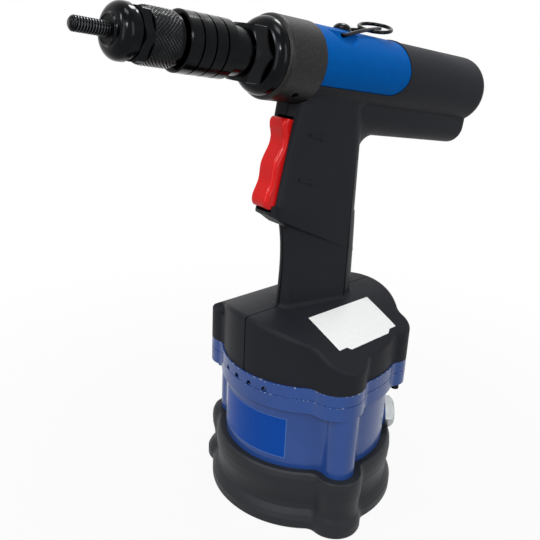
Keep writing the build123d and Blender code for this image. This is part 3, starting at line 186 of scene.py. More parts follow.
# %% [markdown]
# Use wears the oxide off edges. The crests of the thread, the tips of the knurl and the rim of the anvil
# are rubbed paler. The face of the anvil, where each rivet nut is pressed, is dull and soaked with oil.
# Wear could be painted on by hand, but here chosen faces take a finish of their own, so that it follows
# the shape.

# %% Worn and dulled oxide
worn = {}
for name, dark, pale, roughness in (
    ("rubbed_black_oxide", "#38393b", "#525355", 0.2),
    ("dulled_black_oxide", "#090a0a", "#0e0f10", 0.5),
):
    worn[name], tree = new_material(name)
    place = add_node(tree, "ShaderNodeTexCoord").outputs["Object"]
    patches = add_node(tree, "ShaderNodeTexNoise", {
        "Vector": place, "Scale": per_metre(1.5), "Detail": 3.0,
    })
    tone = add_node(tree, "ShaderNodeMix", {
        "Factor": patches.outputs["Fac"], "A": linear(dark), "B": linear(pale),
    }, data_type="RGBA")
    surface = add_node(tree, "ShaderNodeBsdfPrincipled", {
        "Base Color": tone.outputs["Result"], "Roughness": roughness, "Metallic": 1.0,
    })
    add_node(tree, "ShaderNodeOutputMaterial", {"Surface": surface.outputs["BSDF"]})

# %% [markdown]
# The pulling cylinder is a casting, blasted and painted black. The grit leaves pits and peaks a little under a
# millimetre apart. The peaks are coloured paler: partly the paint's own pale flecks, partly a painted sparkle
# where the peaks catch the light. Pits this small could be modelled, but a bump that follows a noise looks the
# same and adds no faces.

# %% Textured black paint
cast_black, tree = new_material("textured_black_paint")
place = add_node(tree, "ShaderNodeTexCoord").outputs["Object"]
grit = add_node(tree, "ShaderNodeTexNoise", {
    "Vector": place, "Scale": per_metre(0.9), "Detail": 4.0, "Roughness": 0.65,
})
# paler peaks: the paint's own flecks together with a painted sparkle
pale_flecks_and_sparkle = add_node(tree, "ShaderNodeMapRange", {
    "Value": grit.outputs["Fac"], "From Min": 0.5, "From Max": 0.72, "To Min": 0.0, "To Max": 1.0,
})
tone = add_node(tree, "ShaderNodeMix", {
    "Factor": pale_flecks_and_sparkle.outputs["Result"], "A": linear("#0e0f0f"), "B": linear("#2c2b27"),
}, data_type="RGBA")
bump = add_node(tree, "ShaderNodeBump", {
    "Height": grit.outputs["Fac"], "Strength": 0.55, "Distance": 0.25 * MM,
})
surface = add_node(tree, "ShaderNodeBsdfPrincipled", {
    "Base Color": tone.outputs["Result"], "Roughness": 0.4, "Specular IOR Level": 0.2,
    "Normal": bump.outputs["Normal"],
})
add_node(tree, "ShaderNodeOutputMaterial", {"Surface": surface.outputs["BSDF"]})

# %% [markdown]
# The saddle over the head is painted a strong blue. Powder paint flows out almost flat and leaves a
# faint orange peel of about a millimetre and slow changes of depth. The two differ in size, so each has
# a noise of its own.

# %% Blue powder paint
saddle_blue, tree = new_material("blue_powder_paint")
place = add_node(tree, "ShaderNodeTexCoord").outputs["Object"]
depth = add_node(tree, "ShaderNodeTexNoise", {"Vector": place, "Scale": per_metre(5.0), "Detail": 5.0})
tone = add_node(tree, "ShaderNodeMix", {
    "Factor": depth.outputs["Fac"], "A": linear("#00498f"), "B": linear("#0056a2"),
}, data_type="RGBA")
peel = add_node(tree, "ShaderNodeTexNoise", {"Vector": place, "Scale": per_metre(1.1), "Detail": 2.0})
bump = add_node(tree, "ShaderNodeBump", {
    "Height": peel.outputs["Fac"], "Strength": 0.25, "Distance": 0.1 * MM,
})
surface = add_node(tree, "ShaderNodeBsdfPrincipled", {
    "Base Color": tone.outputs["Result"], "Roughness": 0.46, "Specular IOR Level": 0.03,
    "Normal": bump.outputs["Normal"],
})
add_node(tree, "ShaderNodeOutputMaterial", {"Surface": surface.outputs["BSDF"]})

# %% [markdown]
# The air cylinder and its flange are sprayed with a glossy royal blue enamel over an aluminium casting.
# Along the upper edges of the flange, small pale specks are painted highlights that stand for glints on the
# rounded edges: a speck is where a fine noise is high and the height is that of an edge. Specks could also be
# painted as an image, but a rule in object coordinates needs no unwrapping.

# %% Blue enamel and its painted edge highlights
enamel, tree = new_material("blue_gloss_enamel")
place = add_node(tree, "ShaderNodeTexCoord").outputs["Object"]
cloud = add_node(tree, "ShaderNodeTexNoise", {"Vector": place, "Scale": per_metre(14.0), "Detail": 6.0})
tone = add_node(tree, "ShaderNodeMix", {
    "Factor": cloud.outputs["Fac"], "A": linear("#1b3b7a"), "B": linear("#254889"),
}, data_type="RGBA")
parts = add_node(tree, "ShaderNodeSeparateXYZ", {"Vector": place})
# painted highlights: fine noise for pale specks on the flange edges
glint_noise = add_node(tree, "ShaderNodeTexNoise", {"Vector": place, "Scale": per_metre(1.1), "Detail": 3.0})
painted_glints = add_node(tree, "ShaderNodeMapRange", {
    "Value": glint_noise.outputs["Fac"], "From Min": 0.6, "From Max": 0.66, "To Min": 0.0, "To Max": 0.75,
}).outputs["Result"]
flange_edges, glint_half = (82.6, 89.5), 0.35
edge_lines = []
for edge_height in flange_edges:
    off_edge = add_node(tree, "ShaderNodeMath", {
        0: parts.outputs["Z"], 1: edge_height * MM,
    }, operation="SUBTRACT")
    off_edge = add_node(tree, "ShaderNodeMath", {0: off_edge.outputs["Value"]}, operation="ABSOLUTE")
    edge_lines.append(add_node(tree, "ShaderNodeMath", {
        0: off_edge.outputs["Value"], 1: glint_half * MM,
    }, operation="LESS_THAN").outputs["Value"])
near_edge = add_node(tree, "ShaderNodeMath", {0: edge_lines[0], 1: edge_lines[1]}, operation="MAXIMUM")
painted_highlight_mask = add_node(tree, "ShaderNodeMath", {0: painted_glints, 1: near_edge.outputs["Value"]}, operation="MULTIPLY")
# painted highlight: the pale colour on the flange edges stands for glints
tone = add_node(tree, "ShaderNodeMix", {
    "Factor": painted_highlight_mask.outputs["Value"], "A": tone.outputs["Result"], "B": linear("#c4cad6"),
}, data_type="RGBA")

# %% [markdown]
# The exhaust ports are openings in the flange. Their walls are coloured near black as painted shade, so that the
# openings look deep. That colour is chosen by radius and height, so the ports need no piece of their own. The
# enamel itself is smooth and mirrors the light boxes in long upright streaks; the casting below shows only as a
# slow waviness.

# %% Exhaust ports with painted shade, and gloss of the enamel
port_radius, port_foot, port_top = 50.9, 82.72, 86.4
level_place = add_node(tree, "ShaderNodeVectorMath", {0: place, 1: (1.0, 1.0, 0.0)}, operation="MULTIPLY")
out = add_node(tree, "ShaderNodeVectorMath", {0: level_place.outputs["Vector"]}, operation="LENGTH")
painted_port_shade = add_node(tree, "ShaderNodeMath", {
    0: out.outputs["Value"], 1: port_radius * MM,
}, operation="LESS_THAN").outputs["Value"]
for edge, side in ((port_foot, "GREATER_THAN"), (port_top, "LESS_THAN")):
    inside = add_node(tree, "ShaderNodeMath", {0: parts.outputs["Z"], 1: edge * MM}, operation=side)
    painted_port_shade = add_node(tree, "ShaderNodeMath", {
        0: painted_port_shade, 1: inside.outputs["Value"],
    }, operation="MULTIPLY").outputs["Value"]
# painted shade: the walls of the exhaust ports take a near black colour
tone = add_node(tree, "ShaderNodeMix", {
    "Factor": painted_port_shade, "A": tone.outputs["Result"], "B": linear("#060709"),
}, data_type="RGBA")
wave = add_node(tree, "ShaderNodeTexNoise", {"Vector": place, "Scale": per_metre(2.2), "Detail": 2.0})
bump = add_node(tree, "ShaderNodeBump", {
    "Height": wave.outputs["Fac"], "Strength": 0.18, "Distance": 0.12 * MM,
})
surface = add_node(tree, "ShaderNodeBsdfPrincipled", {
    "Base Color": tone.outputs["Result"], "Roughness": 0.3, "Specular IOR Level": 0.25,
    "Coat Weight": 0.25, "Coat Roughness": 0.08, "Normal": bump.outputs["Normal"],
})
add_node(tree, "ShaderNodeOutputMaterial", {"Surface": surface.outputs["BSDF"]})

# %% [markdown]
# Handle, motor barrel and base cover are moulded in black glass-filled nylon. The mould is spark eroded,
# which gives the plastic a satin skin. Its grain is near 0.2 mm; here it is drawn at 0.6 mm, the finest
# that still shows in the picture.

# %% Moulded nylon
nylon, tree = new_material("moulded_black_nylon")
place = add_node(tree, "ShaderNodeTexCoord").outputs["Object"]
grain = add_node(tree, "ShaderNodeTexNoise", {"Vector": place, "Scale": per_metre(0.6), "Detail": 3.0})
rub = add_node(tree, "ShaderNodeTexNoise", {"Vector": place, "Scale": per_metre(25.0), "Detail": 3.0})
shine = add_node(tree, "ShaderNodeMapRange", {
    "Value": rub.outputs["Fac"], "From Min": 0.3, "From Max": 0.7, "To Min": 0.42, "To Max": 0.54,
})
tone = add_node(tree, "ShaderNodeMix", {
    "Factor": rub.outputs["Fac"], "A": linear("#1d1e22"), "B": linear("#222328"),
}, data_type="RGBA")

# %% [markdown]
# The two halves of the moulding meet in the middle plane of the tool, and their rounded edges leave a
# dark line there, so the colour falls off within 0.6 mm of it. A second line runs up each flank of the
# handle, where the soft strip of the back is let in. Grooves this narrow could be cut, but they would
# show as no more than dark lines, so lines of colour are enough.

# %% Seam lines of the nylon
line_core, line_edge = 0.35 * MM, 0.6 * MM
strip_edge, strip_foot, strip_top = 13.5 * MM, 122.6 * MM, 203.2 * MM
parts = add_node(tree, "ShaderNodeSeparateXYZ", {"Vector": place})
off_seam = add_node(tree, "ShaderNodeMath", {0: parts.outputs["Y"]}, operation="ABSOLUTE")
off_strip = add_node(tree, "ShaderNodeMath", {0: parts.outputs["X"], 1: strip_edge}, operation="SUBTRACT")
off_strip = add_node(tree, "ShaderNodeMath", {0: off_strip.outputs["Value"]}, operation="ABSOLUTE")
lines = []
for distance in (off_seam, off_strip):
    lines.append(add_node(tree, "ShaderNodeMapRange", {
        "Value": distance.outputs["Value"], "From Min": line_core, "From Max": line_edge,
        "To Min": 1.0, "To Max": 0.0,
    }).outputs["Result"])
for edge, side in ((strip_foot, "GREATER_THAN"), (strip_top, "LESS_THAN")):
    inside = add_node(tree, "ShaderNodeMath", {0: parts.outputs["Z"], 1: edge}, operation=side)
    lines[1] = add_node(tree, "ShaderNodeMath", {
        0: lines[1], 1: inside.outputs["Value"],
    }, operation="MULTIPLY").outputs["Value"]
seam = add_node(tree, "ShaderNodeMath", {0: lines[0], 1: lines[1]}, operation="MAXIMUM")
tone = add_node(tree, "ShaderNodeMix", {
    "Factor": seam.outputs["Value"], "A": tone.outputs["Result"], "B": linear("#010101"),
}, data_type="RGBA")
bump = add_node(tree, "ShaderNodeBump", {
    "Height": grain.outputs["Fac"], "Strength": 0.22, "Distance": 0.06 * MM,
})
surface = add_node(tree, "ShaderNodeBsdfPrincipled", {
    "Base Color": tone.outputs["Result"], "Roughness": shine.outputs["Result"],
    "Specular IOR Level": 0.06, "Normal": bump.outputs["Normal"],
})
add_node(tree, "ShaderNodeOutputMaterial", {"Surface": surface.outputs["BSDF"]})

# %% [markdown]
# The trigger is glossy red ABS from a polished mould: sharp small highlights and an even colour that
# goes a little deeper where the plastic flowed slowly. A low roughness gives the gloss, and there is no
# bump.

# %% Red ABS
red_abs, tree = new_material("gloss_red_abs")
place = add_node(tree, "ShaderNodeTexCoord").outputs["Object"]
flow = add_node(tree, "ShaderNodeTexNoise", {"Vector": place, "Scale": per_metre(12.0), "Detail": 2.0})
tone = add_node(tree, "ShaderNodeMix", {
    "Factor": flow.outputs["Fac"], "A": linear("#c21112"), "B": linear("#ce1717"),
}, data_type="RGBA")
surface = add_node(tree, "ShaderNodeBsdfPrincipled", {
    "Base Color": tone.outputs["Result"], "Roughness": 0.14, "Specular IOR Level": 0.16,
})
add_node(tree, "ShaderNodeOutputMaterial", {"Surface": surface.outputs["BSDF"]})

# %% [markdown]
# The boot is moulded rubber. It scatters light more than the nylon, has a fine even grain and shows a
# slightly paler bloom in soft patches.

# %% Boot rubber
boot_rubber, tree = new_material("moulded_black_rubber")
place = add_node(tree, "ShaderNodeTexCoord").outputs["Object"]
bloom = add_node(tree, "ShaderNodeTexNoise", {"Vector": place, "Scale": per_metre(18.0), "Detail": 4.0})
tone = add_node(tree, "ShaderNodeMix", {
    "Factor": bloom.outputs["Fac"], "A": linear("#181a1e"), "B": linear("#202226"),
}, data_type="RGBA")
grain = add_node(tree, "ShaderNodeTexNoise", {"Vector": place, "Scale": per_metre(0.7), "Detail": 2.0})
bump = add_node(tree, "ShaderNodeBump", {
    "Height": grain.outputs["Fac"], "Strength": 0.2, "Distance": 0.06 * MM,
})
surface = add_node(tree, "ShaderNodeBsdfPrincipled", {
    "Base Color": tone.outputs["Result"], "Roughness": 0.5, "Specular IOR Level": 0.22,
    "Normal": bump.outputs["Normal"],
})
add_node(tree, "ShaderNodeOutputMaterial", {"Surface": surface.outputs["BSDF"]})

# %% [markdown]
# The air fitting is brass with a dull nickel plate, a pale metal with a soft shine.

# %% Nickel plate
nickel, tree = new_material("dull_nickel_plate")
place = add_node(tree, "ShaderNodeTexCoord").outputs["Object"]
haze = add_node(tree, "ShaderNodeTexNoise", {"Vector": place, "Scale": per_metre(3.0), "Detail": 3.0})
shine = add_node(tree, "ShaderNodeMapRange", {
    "Value": haze.outputs["Fac"], "From Min": 0.3, "From Max": 0.7, "To Min": 0.28, "To Max": 0.42,
})
surface = add_node(tree, "ShaderNodeBsdfPrincipled", {
    "Base Color": linear("#a8acae"), "Roughness": shine.outputs["Result"], "Metallic": 1.0,
})
add_node(tree, "ShaderNodeOutputMaterial", {"Surface": surface.outputs["BSDF"]})

# %% [markdown]
# Inside the tool are plain engineering surfaces. They show only when the pieces come apart in a viewer,
# but each still has its own grain: ground steel with fine scratches, turned aluminium, honed iron,
# nitrile rubber seals, a felt silencer and the brown laminate of the motor vanes. They differ in
# colours, grain, roughness and metal, so one loop makes them all.

# %% Inner finishes
inner = {}
inner_looks = {
    "ground_tool_steel": ("#9a9b9d", "#b4b5b7", 0.4, 0.32, 1.0),
    "oiled_spring_steel": ("#6f7072", "#8d8e90", 0.8, 0.36, 1.0),
    "turned_aluminium": ("#c2c4c6", "#d6d8da", 0.5, 0.38, 1.0),
    "honed_cast_iron": ("#55565a", "#6d6e72", 0.6, 0.45, 1.0),
    "nitrile_rubber": ("#151516", "#1e1e20", 0.5, 0.6, 0.0),
    "pressed_felt": ("#8d8b82", "#a9a79c", 0.7, 0.95, 0.0),
    "vane_laminate": ("#5a3d20", "#74522e", 0.6, 0.6, 0.0),
}
for name, (dark, pale, grain_mm, roughness, metallic) in inner_looks.items():
    inner[name], tree = new_material(name)
    place = add_node(tree, "ShaderNodeTexCoord").outputs["Object"]
    grain = add_node(tree, "ShaderNodeTexNoise", {
        "Vector": place, "Scale": per_metre(grain_mm), "Detail": 4.0,
    })
    tone = add_node(tree, "ShaderNodeMix", {
        "Factor": grain.outputs["Fac"], "A": linear(dark), "B": linear(pale),
    }, data_type="RGBA")
    bump = add_node(tree, "ShaderNodeBump", {
        "Height": grain.outputs["Fac"], "Strength": 0.2, "Distance": 0.05 * MM,
    })
    surface = add_node(tree, "ShaderNodeBsdfPrincipled", {
        "Base Color": tone.outputs["Result"], "Roughness": roughness, "Metallic": metallic,
        "Normal": bump.outputs["Normal"],
    })
    add_node(tree, "ShaderNodeOutputMaterial", {"Surface": surface.outputs["BSDF"]})
print("inner finishes:", len(inner))

# %% [markdown]
# The record names a material slot for each piece. Giving each slot its finish dresses the whole frame in
# one step, and no piece can be missed.

# %% Dress the frame
finishes = {
    "black_steel": black_oxide,
    "black_casting": cast_black,
    "blue_cover": saddle_blue,
    "blue_paint": enamel,
    "housing_plastic": nylon,
    "strip_rubber": boot_rubber,
    "trigger_plastic": red_abs,
    "boot_rubber": boot_rubber,
    "nickel": nickel,
    "spring_steel": inner["oiled_spring_steel"],
    "tool_steel": inner["ground_tool_steel"],
    "bare_aluminium": inner["turned_aluminium"],
    "motor_iron": inner["honed_cast_iron"],
    "seal_rubber": inner["nitrile_rubber"],
    "felt": inner["pressed_felt"],
    "vane_plastic": inner["vane_laminate"],
}
for row in frame["record"]["subparts"]:
    piece = nodes[row["node"]]
    piece.data.materials.clear()
    piece.data.materials.append(finishes[row["material_slot"]])

# %% [markdown]
# A finer piece takes its place from the piece that it stands for, so its corners, its triangles and its
# span along the head line are read from the frame. A round grid can show wear: its faces take the
# material whose number is given for their row and column.

# %% Measures of a piece and worn faces
def node_points(name):
    """Corners of a frame piece as rows of x, y, z in metres."""
    flat = np.empty(3 * len(nodes[name].data.vertices), np.float32)
    nodes[name].data.vertices.foreach_get("co", flat)
    return flat.reshape(-1, 3).astype(float)


def node_triangles(name):
    """Corner numbers of each triangle of a frame piece."""
    numbers = np.empty(len(nodes[name].data.loops), np.int32)
    nodes[name].data.loops.foreach_get("vertex_index", numbers)
    return numbers.reshape(-1, 3)


def head_span(name):
    """Rear and front station of a frame piece along the head line, in mm."""
    along = (node_points(name) - head_origin) @ head_forward / MM
    return along.min(), along.max()


def rub_faces(piece, finish_rows):
    """Give each quad of a round grid the material whose number stands at its first corner."""
    rows = np.zeros(len(piece.data.polygons), np.int32)
    chosen = finish_rows[:-1].ravel()
    rows[:len(chosen)] = chosen
    piece.data.polygons.foreach_set("material_index", rows)


# %% [markdown]
# The mandrel is a screw, and the rivet nut runs on its thread. A thread is a groove that climbs by one
# pitch in each turn, so the radius depends on the station minus the turned share of a pitch. Its flanks
# rise steeply and leave a flat crest and a flat root. The same grid also gives the plain shank and the
# hexagon that the chuck drives, so one closed piece stands for the whole mandrel. A Screw modifier could
# wind a thread too, but not with the chamfer of the tip. Rows run from the tip back, which turns the
# faces outwards.

# %% Threaded mandrel
thread_pitch, thread_depth, thread_run = 1.25, 0.55, 30.0
flank_slope, root_share, crest_level = 2.2, 0.45, 0.9
tip_chamfer, tip_bend = 1.3, 1.5
shank_radius = 3.0
hexagon_half, hexagon_length = 4.5, 5.6
rows_per_pitch, mandrel_columns, corner_step = 12, 48, 0.01
mounts = {mount["name"]: mount for mount in frame["record"]["mounts"]}
mandrel_radius = mounts["mandrel_end"]["dims"]["r_mm"]
mandrel_rear, mandrel_tip = head_span("mandrel")
head_shoulder = mandrel_rear + hexagon_length
thread_start = mandrel_tip - thread_run
stations = np.concatenate([
    [mandrel_rear, mandrel_rear + corner_step, head_shoulder - corner_step, head_shoulder],
    [thread_start - corner_step],
    np.linspace(thread_start, mandrel_tip, int(thread_run / thread_pitch * rows_per_pitch)),
])[::-1, None]
turns = np.linspace(0, 2 * np.pi, mandrel_columns, endpoint=False)[None, :]
phase = (stations / thread_pitch - turns / (2 * np.pi)) % 1
groove = np.clip(flank_slope * np.abs(2 * phase - 1) - root_share, 0, 1)
threaded = mandrel_radius - thread_depth * (1 - groove)
from_tip = (mandrel_tip - stations) / tip_chamfer
chamfered = mandrel_radius - tip_chamfer * np.clip(1 - from_tip, 0, 1) ** tip_bend
radius = np.minimum(threaded, chamfered)
radius = np.where(stations < thread_start, shank_radius, radius)
sixth = np.pi / 3
hexagon = hexagon_half / np.cos((turns + sixth / 2) % sixth - sixth / 2)
radius = np.where(stations < head_shoulder, hexagon, radius)
mandrel_thread = grid_mesh("mandrel_thread", head_points(stations, radius, turns), round_shape=True)
mandrel_thread.data.set_sharp_from_angle(angle=math.radians(50))
mandrel_thread.data.materials.append(black_oxide)
mandrel_thread.data.materials.append(worn["rubbed_black_oxide"])
on_crest = (groove > crest_level) & (stations > thread_start) & (threaded <= chamfered)
rub_faces(mandrel_thread, on_crest)
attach(mandrel_thread, "spindle")
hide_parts("mandrel")

# %% [markdown]
# Fingers turn the stroke adjuster, so its barrel is knurled: two sets of rolled grooves cross and leave
# rows of small pyramids. Each set is a triangle wave over turn plus or minus station, and the lower of
# the two waves is the height of the metal. A bump would leave the outline of the barrel smooth, so the
# knurl is real relief: a thin ring, let into the barrel.

# %% Diamond knurl
knurl_count, knurl_samples = 42, 8
knurl_radius, knurl_height, knurl_sink, knurl_wall = 12.0, 0.34, 0.04, 0.5
knurl_rear, knurl_front, knurl_runout = 101.3, 115.0, 0.5
tip_level = 0.7
knurl_pitch = 2 * np.pi * knurl_radius / knurl_count
knurl_rows = int((knurl_front - knurl_rear) / knurl_pitch * knurl_samples)
stations = np.linspace(knurl_front, knurl_rear, knurl_rows)[:, None]
turns = np.linspace(0, 2 * np.pi, knurl_count * knurl_samples, endpoint=False)[None, :]
around = turns * knurl_count / (2 * np.pi)
along = stations / knurl_pitch
one_way = 1 - np.abs(2 * ((around + along) % 1) - 1)
other_way = 1 - np.abs(2 * ((around - along) % 1) - 1)
ends = np.clip(np.minimum(stations - knurl_rear, knurl_front - stations) / knurl_runout, 0, 1)
diamonds = np.minimum(one_way, other_way) * ends
skin = head_points(stations, knurl_radius - knurl_sink + knurl_height * diamonds, turns)
wall = head_points(stations[[-1, 0]], knurl_radius - knurl_wall, turns)
knurl = grid_mesh("adjuster_knurl", np.concatenate([skin, wall, skin[:1]]), ring_shape=True)
knurl.data.set_sharp_from_angle(angle=math.radians(25))
knurl.data.materials.append(black_oxide)
knurl.data.materials.append(worn["rubbed_black_oxide"])
rub_faces(knurl, diamonds > tip_level)
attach(knurl, "adjuster")

# %% [markdown]
# The anvil presses on the rivet nut. It is turned from bar: a flat face inside a low rounded lip, a dome
# that swells to the full radius, a narrow neck and the spigot that screws into the adjuster. A turned
# piece is an outline of stations and radii, spun about the head line as on a lathe. The lip is half a
# circle drawn flat, the dome is a quarter of an ellipse, and stations are counted back from the front.

# %% Turned anvil
anvil_rear, anvil_front = head_span("anvil")
anvil_length = anvil_front - anvil_rear
bore_clearance, face_sink, edge_break = 0.2, 0.3, 0.3
anvil_bore = mandrel_radius + bore_clearance
face_radius, lip_radius, dome_start, dome_radius = 5.8, 6.5, 7.0, 12.0
dome_setback, dome_length, rim_length, neck_length = 0.9, 5.1, 2.0, 2.7
neck_radius, spigot_radius = 10.8, 8.35
rim_rear = dome_setback + dome_length + rim_length
neck_rear = rim_rear + neck_length
dome_steps, lip_steps, anvil_columns = 24, 9, 72
bend = np.linspace(0, np.pi / 2, dome_steps)
lip_bend = np.linspace(0, np.pi, lip_steps)
lip_middle, lip_half = (lip_radius + face_radius) / 2, (lip_radius - face_radius) / 2
lip_line = np.column_stack([face_sink * (1 - np.sin(lip_bend)), lip_middle - lip_half * np.cos(lip_bend)])
dome_line = np.column_stack([
    dome_setback + dome_length * (1 - np.cos(bend)),
    dome_start + (dome_radius - dome_start) * np.sin(bend),
])
outline = np.concatenate([
    [(anvil_length, anvil_bore), (face_sink, anvil_bore), (face_sink, face_radius)],
    lip_line,
    dome_line,
    [(rim_rear - edge_break, dome_radius), (rim_rear, dome_radius - edge_break), (rim_rear, neck_radius)],
    [(neck_rear, neck_radius), (neck_rear, spigot_radius)],
    [(anvil_length, spigot_radius), (anvil_length, anvil_bore)],
])
turns = np.linspace(0, 2 * np.pi, anvil_columns, endpoint=False)[None, :]
points = head_points(anvil_front - outline[:, :1], outline[:, 1:], turns)
turned_anvil = grid_mesh("turned_anvil", points, ring_shape=True)
turned_anvil.data.set_sharp_from_angle(angle=math.radians(35))
turned_anvil.data.materials.append(black_oxide)
turned_anvil.data.materials.append(worn["dulled_black_oxide"])
turned_anvil.data.materials.append(worn["rubbed_black_oxide"])
on_face = np.isclose(outline[:, :1], face_sink) & (outline[:, 1:] < (anvil_bore + face_radius) / 2)
on_edge = np.isclose(outline[:, :1], rim_rear - edge_break)
rub_faces(turned_anvil, np.broadcast_to(on_face + 2 * on_edge, (len(outline), turns.size)))
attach(turned_anvil, "anvil")
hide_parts("anvil")

# %% [markdown]
# The hanger is bent from 2 mm wire: a bail whose two feet sit in the saddle, and a ring that lies in its
# bow. Each is a smooth spline with a round section, so the bends have no corners. The points are
# stations, places across and heights over the head line, in mm. A spline cuts inside its points, so
# those of the ring stand a little outside its radius.

# %% Wire hanger
wire_radius = 1.0
foot_station, foot_out, foot_up, foot_in = 3.4, 10.8, 16.4, 4.6
bend_in, bend_back, bend_rise, bend_ease = 1.6, 2.0, 0.6, 0.2
knee_station, knee_out = -12.0, 8.2
bow_station, bow_run, bow_wide, bow_narrow = -33.6, 2.0, 2.24, 0.96
near_knee_up, near_bow_up, far_knee_up, far_bow_up = 20.9, 24.3, 20.4, 22.8
ring_station, ring_up, ring_radius, ring_count = -30.5, 24.2, 8.5, 12
ring_tilt, ring_roll = math.radians(12.5), math.radians(10.0)


def head_place(station, out, up):
    """Head line + station along it, out to the near side and up from it, in mm."""
    return head_origin + MM * (station * head_forward - out * far_side + up * head_up)


def bail_leg(side, knee_up, bow_up):
    """Foot, bend, knee and end of one leg; side is 1 near and -1 far."""
    return [
        head_place(foot_station, side * (foot_out - foot_in), foot_up),
        head_place(foot_station, side * (foot_out - bend_in), foot_up),
        head_place(foot_station - bend_ease, side * foot_out, foot_up + bend_ease / 2),
        head_place(foot_station - bend_back, side * (foot_out - bend_ease), foot_up + bend_rise),
        head_place(knee_station, side * knee_out, knee_up),
        head_place(bow_station + bow_run, side * bow_wide, bow_up),
        head_place(bow_station, side * bow_narrow, bow_up),
    ]


ring_turns = np.linspace(0, 2 * np.pi, ring_count, endpoint=False)[:, None]
ring_ahead = head_forward * math.cos(ring_tilt) - head_up * math.sin(ring_tilt)
ring_over = np.cross(ring_ahead, far_side)
ring_across = far_side * math.cos(ring_roll) - ring_over * math.sin(ring_roll)
ring_spread = MM * ring_radius / math.cos(np.pi / ring_count) ** 2
ring_middle = head_place(ring_station, 0.0, ring_up)
ring_points = np.cos(ring_turns) * ring_ahead + np.sin(ring_turns) * ring_across
ring_points = ring_middle + ring_spread * ring_points
near_leg = bail_leg(1, near_knee_up, near_bow_up)
far_leg = bail_leg(-1, far_knee_up, far_bow_up)
bail_points = np.array(near_leg + far_leg[::-1])
wire = bpy.data.curves.new("wire_line", "CURVE")
wire.dimensions = "3D"
wire.bevel_depth = MM * wire_radius
wire.bevel_resolution = 5
wire.use_fill_caps = True
for points, closed in ((bail_points, False), (ring_points, True)):
    line = wire.splines.new("NURBS")
    line.points.add(len(points) - 1)
    line.points.foreach_set("co", np.column_stack([points, np.ones(len(points))]).ravel())
    line.order_u = 3
    line.use_endpoint_u = not closed
    line.use_cyclic_u = closed
    line.resolution_u = 10
wire_object = bpy.data.objects.new("wire_line", wire)
hanger_wire = bpy.data.objects.new("hanger_wire", bpy.data.meshes.new_from_object(wire_object))
bpy.data.objects.remove(wire_object)
bpy.context.scene.collection.objects.link(hanger_wire)
hanger_wire.data.polygons.foreach_set("use_smooth", np.ones(len(hanger_wire.data.polygons), bool))
hanger_wire.data.materials.clear()
hanger_wire.data.materials.append(black_oxide)
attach(hanger_wire, "hanger")
print("hanger_wire faces:", len(hanger_wire.data.polygons))
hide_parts("hanger")

# %% [markdown]
# Two springs are hidden in the tool. One brings the pulling piston forward again, the other sends the air piston
# back down. A spring is a helix with a round wire: the wire's circle stands square to the climbing line at each
# point. A plain sleeve could stand for a spring that is out of sight, but a viewer can take the tool apart, and
# then it has to look like one.

# %% Coil springs
def coil_spring(name, node, middle, way, turns, wire_radius):
    """Middle + climb * way + coil radius * outward, then a circle of wire square to that line."""
    steps_per_turn, wire_sides = 28, 12
    places = node_points(node) - middle
    climbs = places @ way
    low, high = climbs.min(), climbs.max()
    wire = MM * wire_radius
    coil_radius = np.linalg.norm(places - climbs[:, None] * way, axis=1).max() - wire
    first_side = np.cross(far_side, way)
    second_side = np.cross(way, first_side)
    angle = np.linspace(0, 2 * np.pi * turns, steps_per_turn * turns + 1)[:, None]
    climb = np.linspace(low + wire, high - wire, steps_per_turn * turns + 1)[:, None]
    outward = np.cos(angle) * first_side + np.sin(angle) * second_side
    line = middle + climb * way + coil_radius * outward
    along = np.gradient(line, axis=0)
    along /= np.linalg.norm(along, axis=1)[:, None]
    across = np.cross(along, outward)
    around = np.linspace(0, 2 * np.pi, wire_sides, endpoint=False)[None, :, None]
    circle = np.cos(around) * outward[:, None] + np.sin(around) * across[:, None]
    spring = grid_mesh(name, line[:, None] + wire * circle, round_shape=True)
    spring.data.materials.append(inner["oiled_spring_steel"])
    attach(spring, "housing")
    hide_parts(node)
    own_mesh(spring)


upward = np.array([0.0, 0.0, 1.0])
coil_spring(
    "return_coil", "return_spring", head_origin, head_forward,
    turns=6, wire_radius=1.2,
)
coil_spring(
    "piston_coil", "piston_spring", np.zeros(3), upward,
    turns=5, wire_radius=1.6,
)

# %% [markdown]
# Two stickers are on the tool. The one on the roof of the base cover is plain white vinyl with a low
# tab; the one on the cylinder is plain blue vinyl, a purer blue than the enamel. Vinyl has a soft gloss
# and follows the surface under it. A clear film covers the blue one and stands half a millimetre out
# round its edge.

# %% Sticker vinyl
vinyl = {}
for name, one_tone, other_tone in (
    ("white_vinyl", "#e4e5e5", "#dbdcdc"),
    ("blue_vinyl", "#083f93", "#0d469b"),
    ("clear_vinyl", "#43619f", "#4c6aa8"),
):
    vinyl[name], tree = new_material(name)
    place = add_node(tree, "ShaderNodeTexCoord").outputs["Object"]
    vinyl_grain = add_node(tree, "ShaderNodeTexNoise", {
        "Vector": place, "Scale": per_metre(2.5), "Detail": 3.0,
    })
    tone = add_node(tree, "ShaderNodeMix", {
        "Factor": vinyl_grain.outputs["Fac"], "A": linear(one_tone), "B": linear(other_tone),
    }, data_type="RGBA")
    surface = add_node(tree, "ShaderNodeBsdfPrincipled", {
        "Base Color": tone.outputs["Result"], "Roughness": 0.34, "Specular IOR Level": 0.08,
    })
    add_node(tree, "ShaderNodeOutputMaterial", {"Surface": surface.outputs["BSDF"]})

# %% [markdown]
# The roof of the cover is part of a cylinder lying fore and aft, so a point of the white sticker has the
# height of that cylinder at its own distance from the middle. The sticker is two patches, a wide one and
# the low tab along its lower edge, and each patch mixes its four corners in proportion. A Shrinkwrap
# modifier could lay a flat sheet on the roof, but the roof's formula is known, so the height is exact.

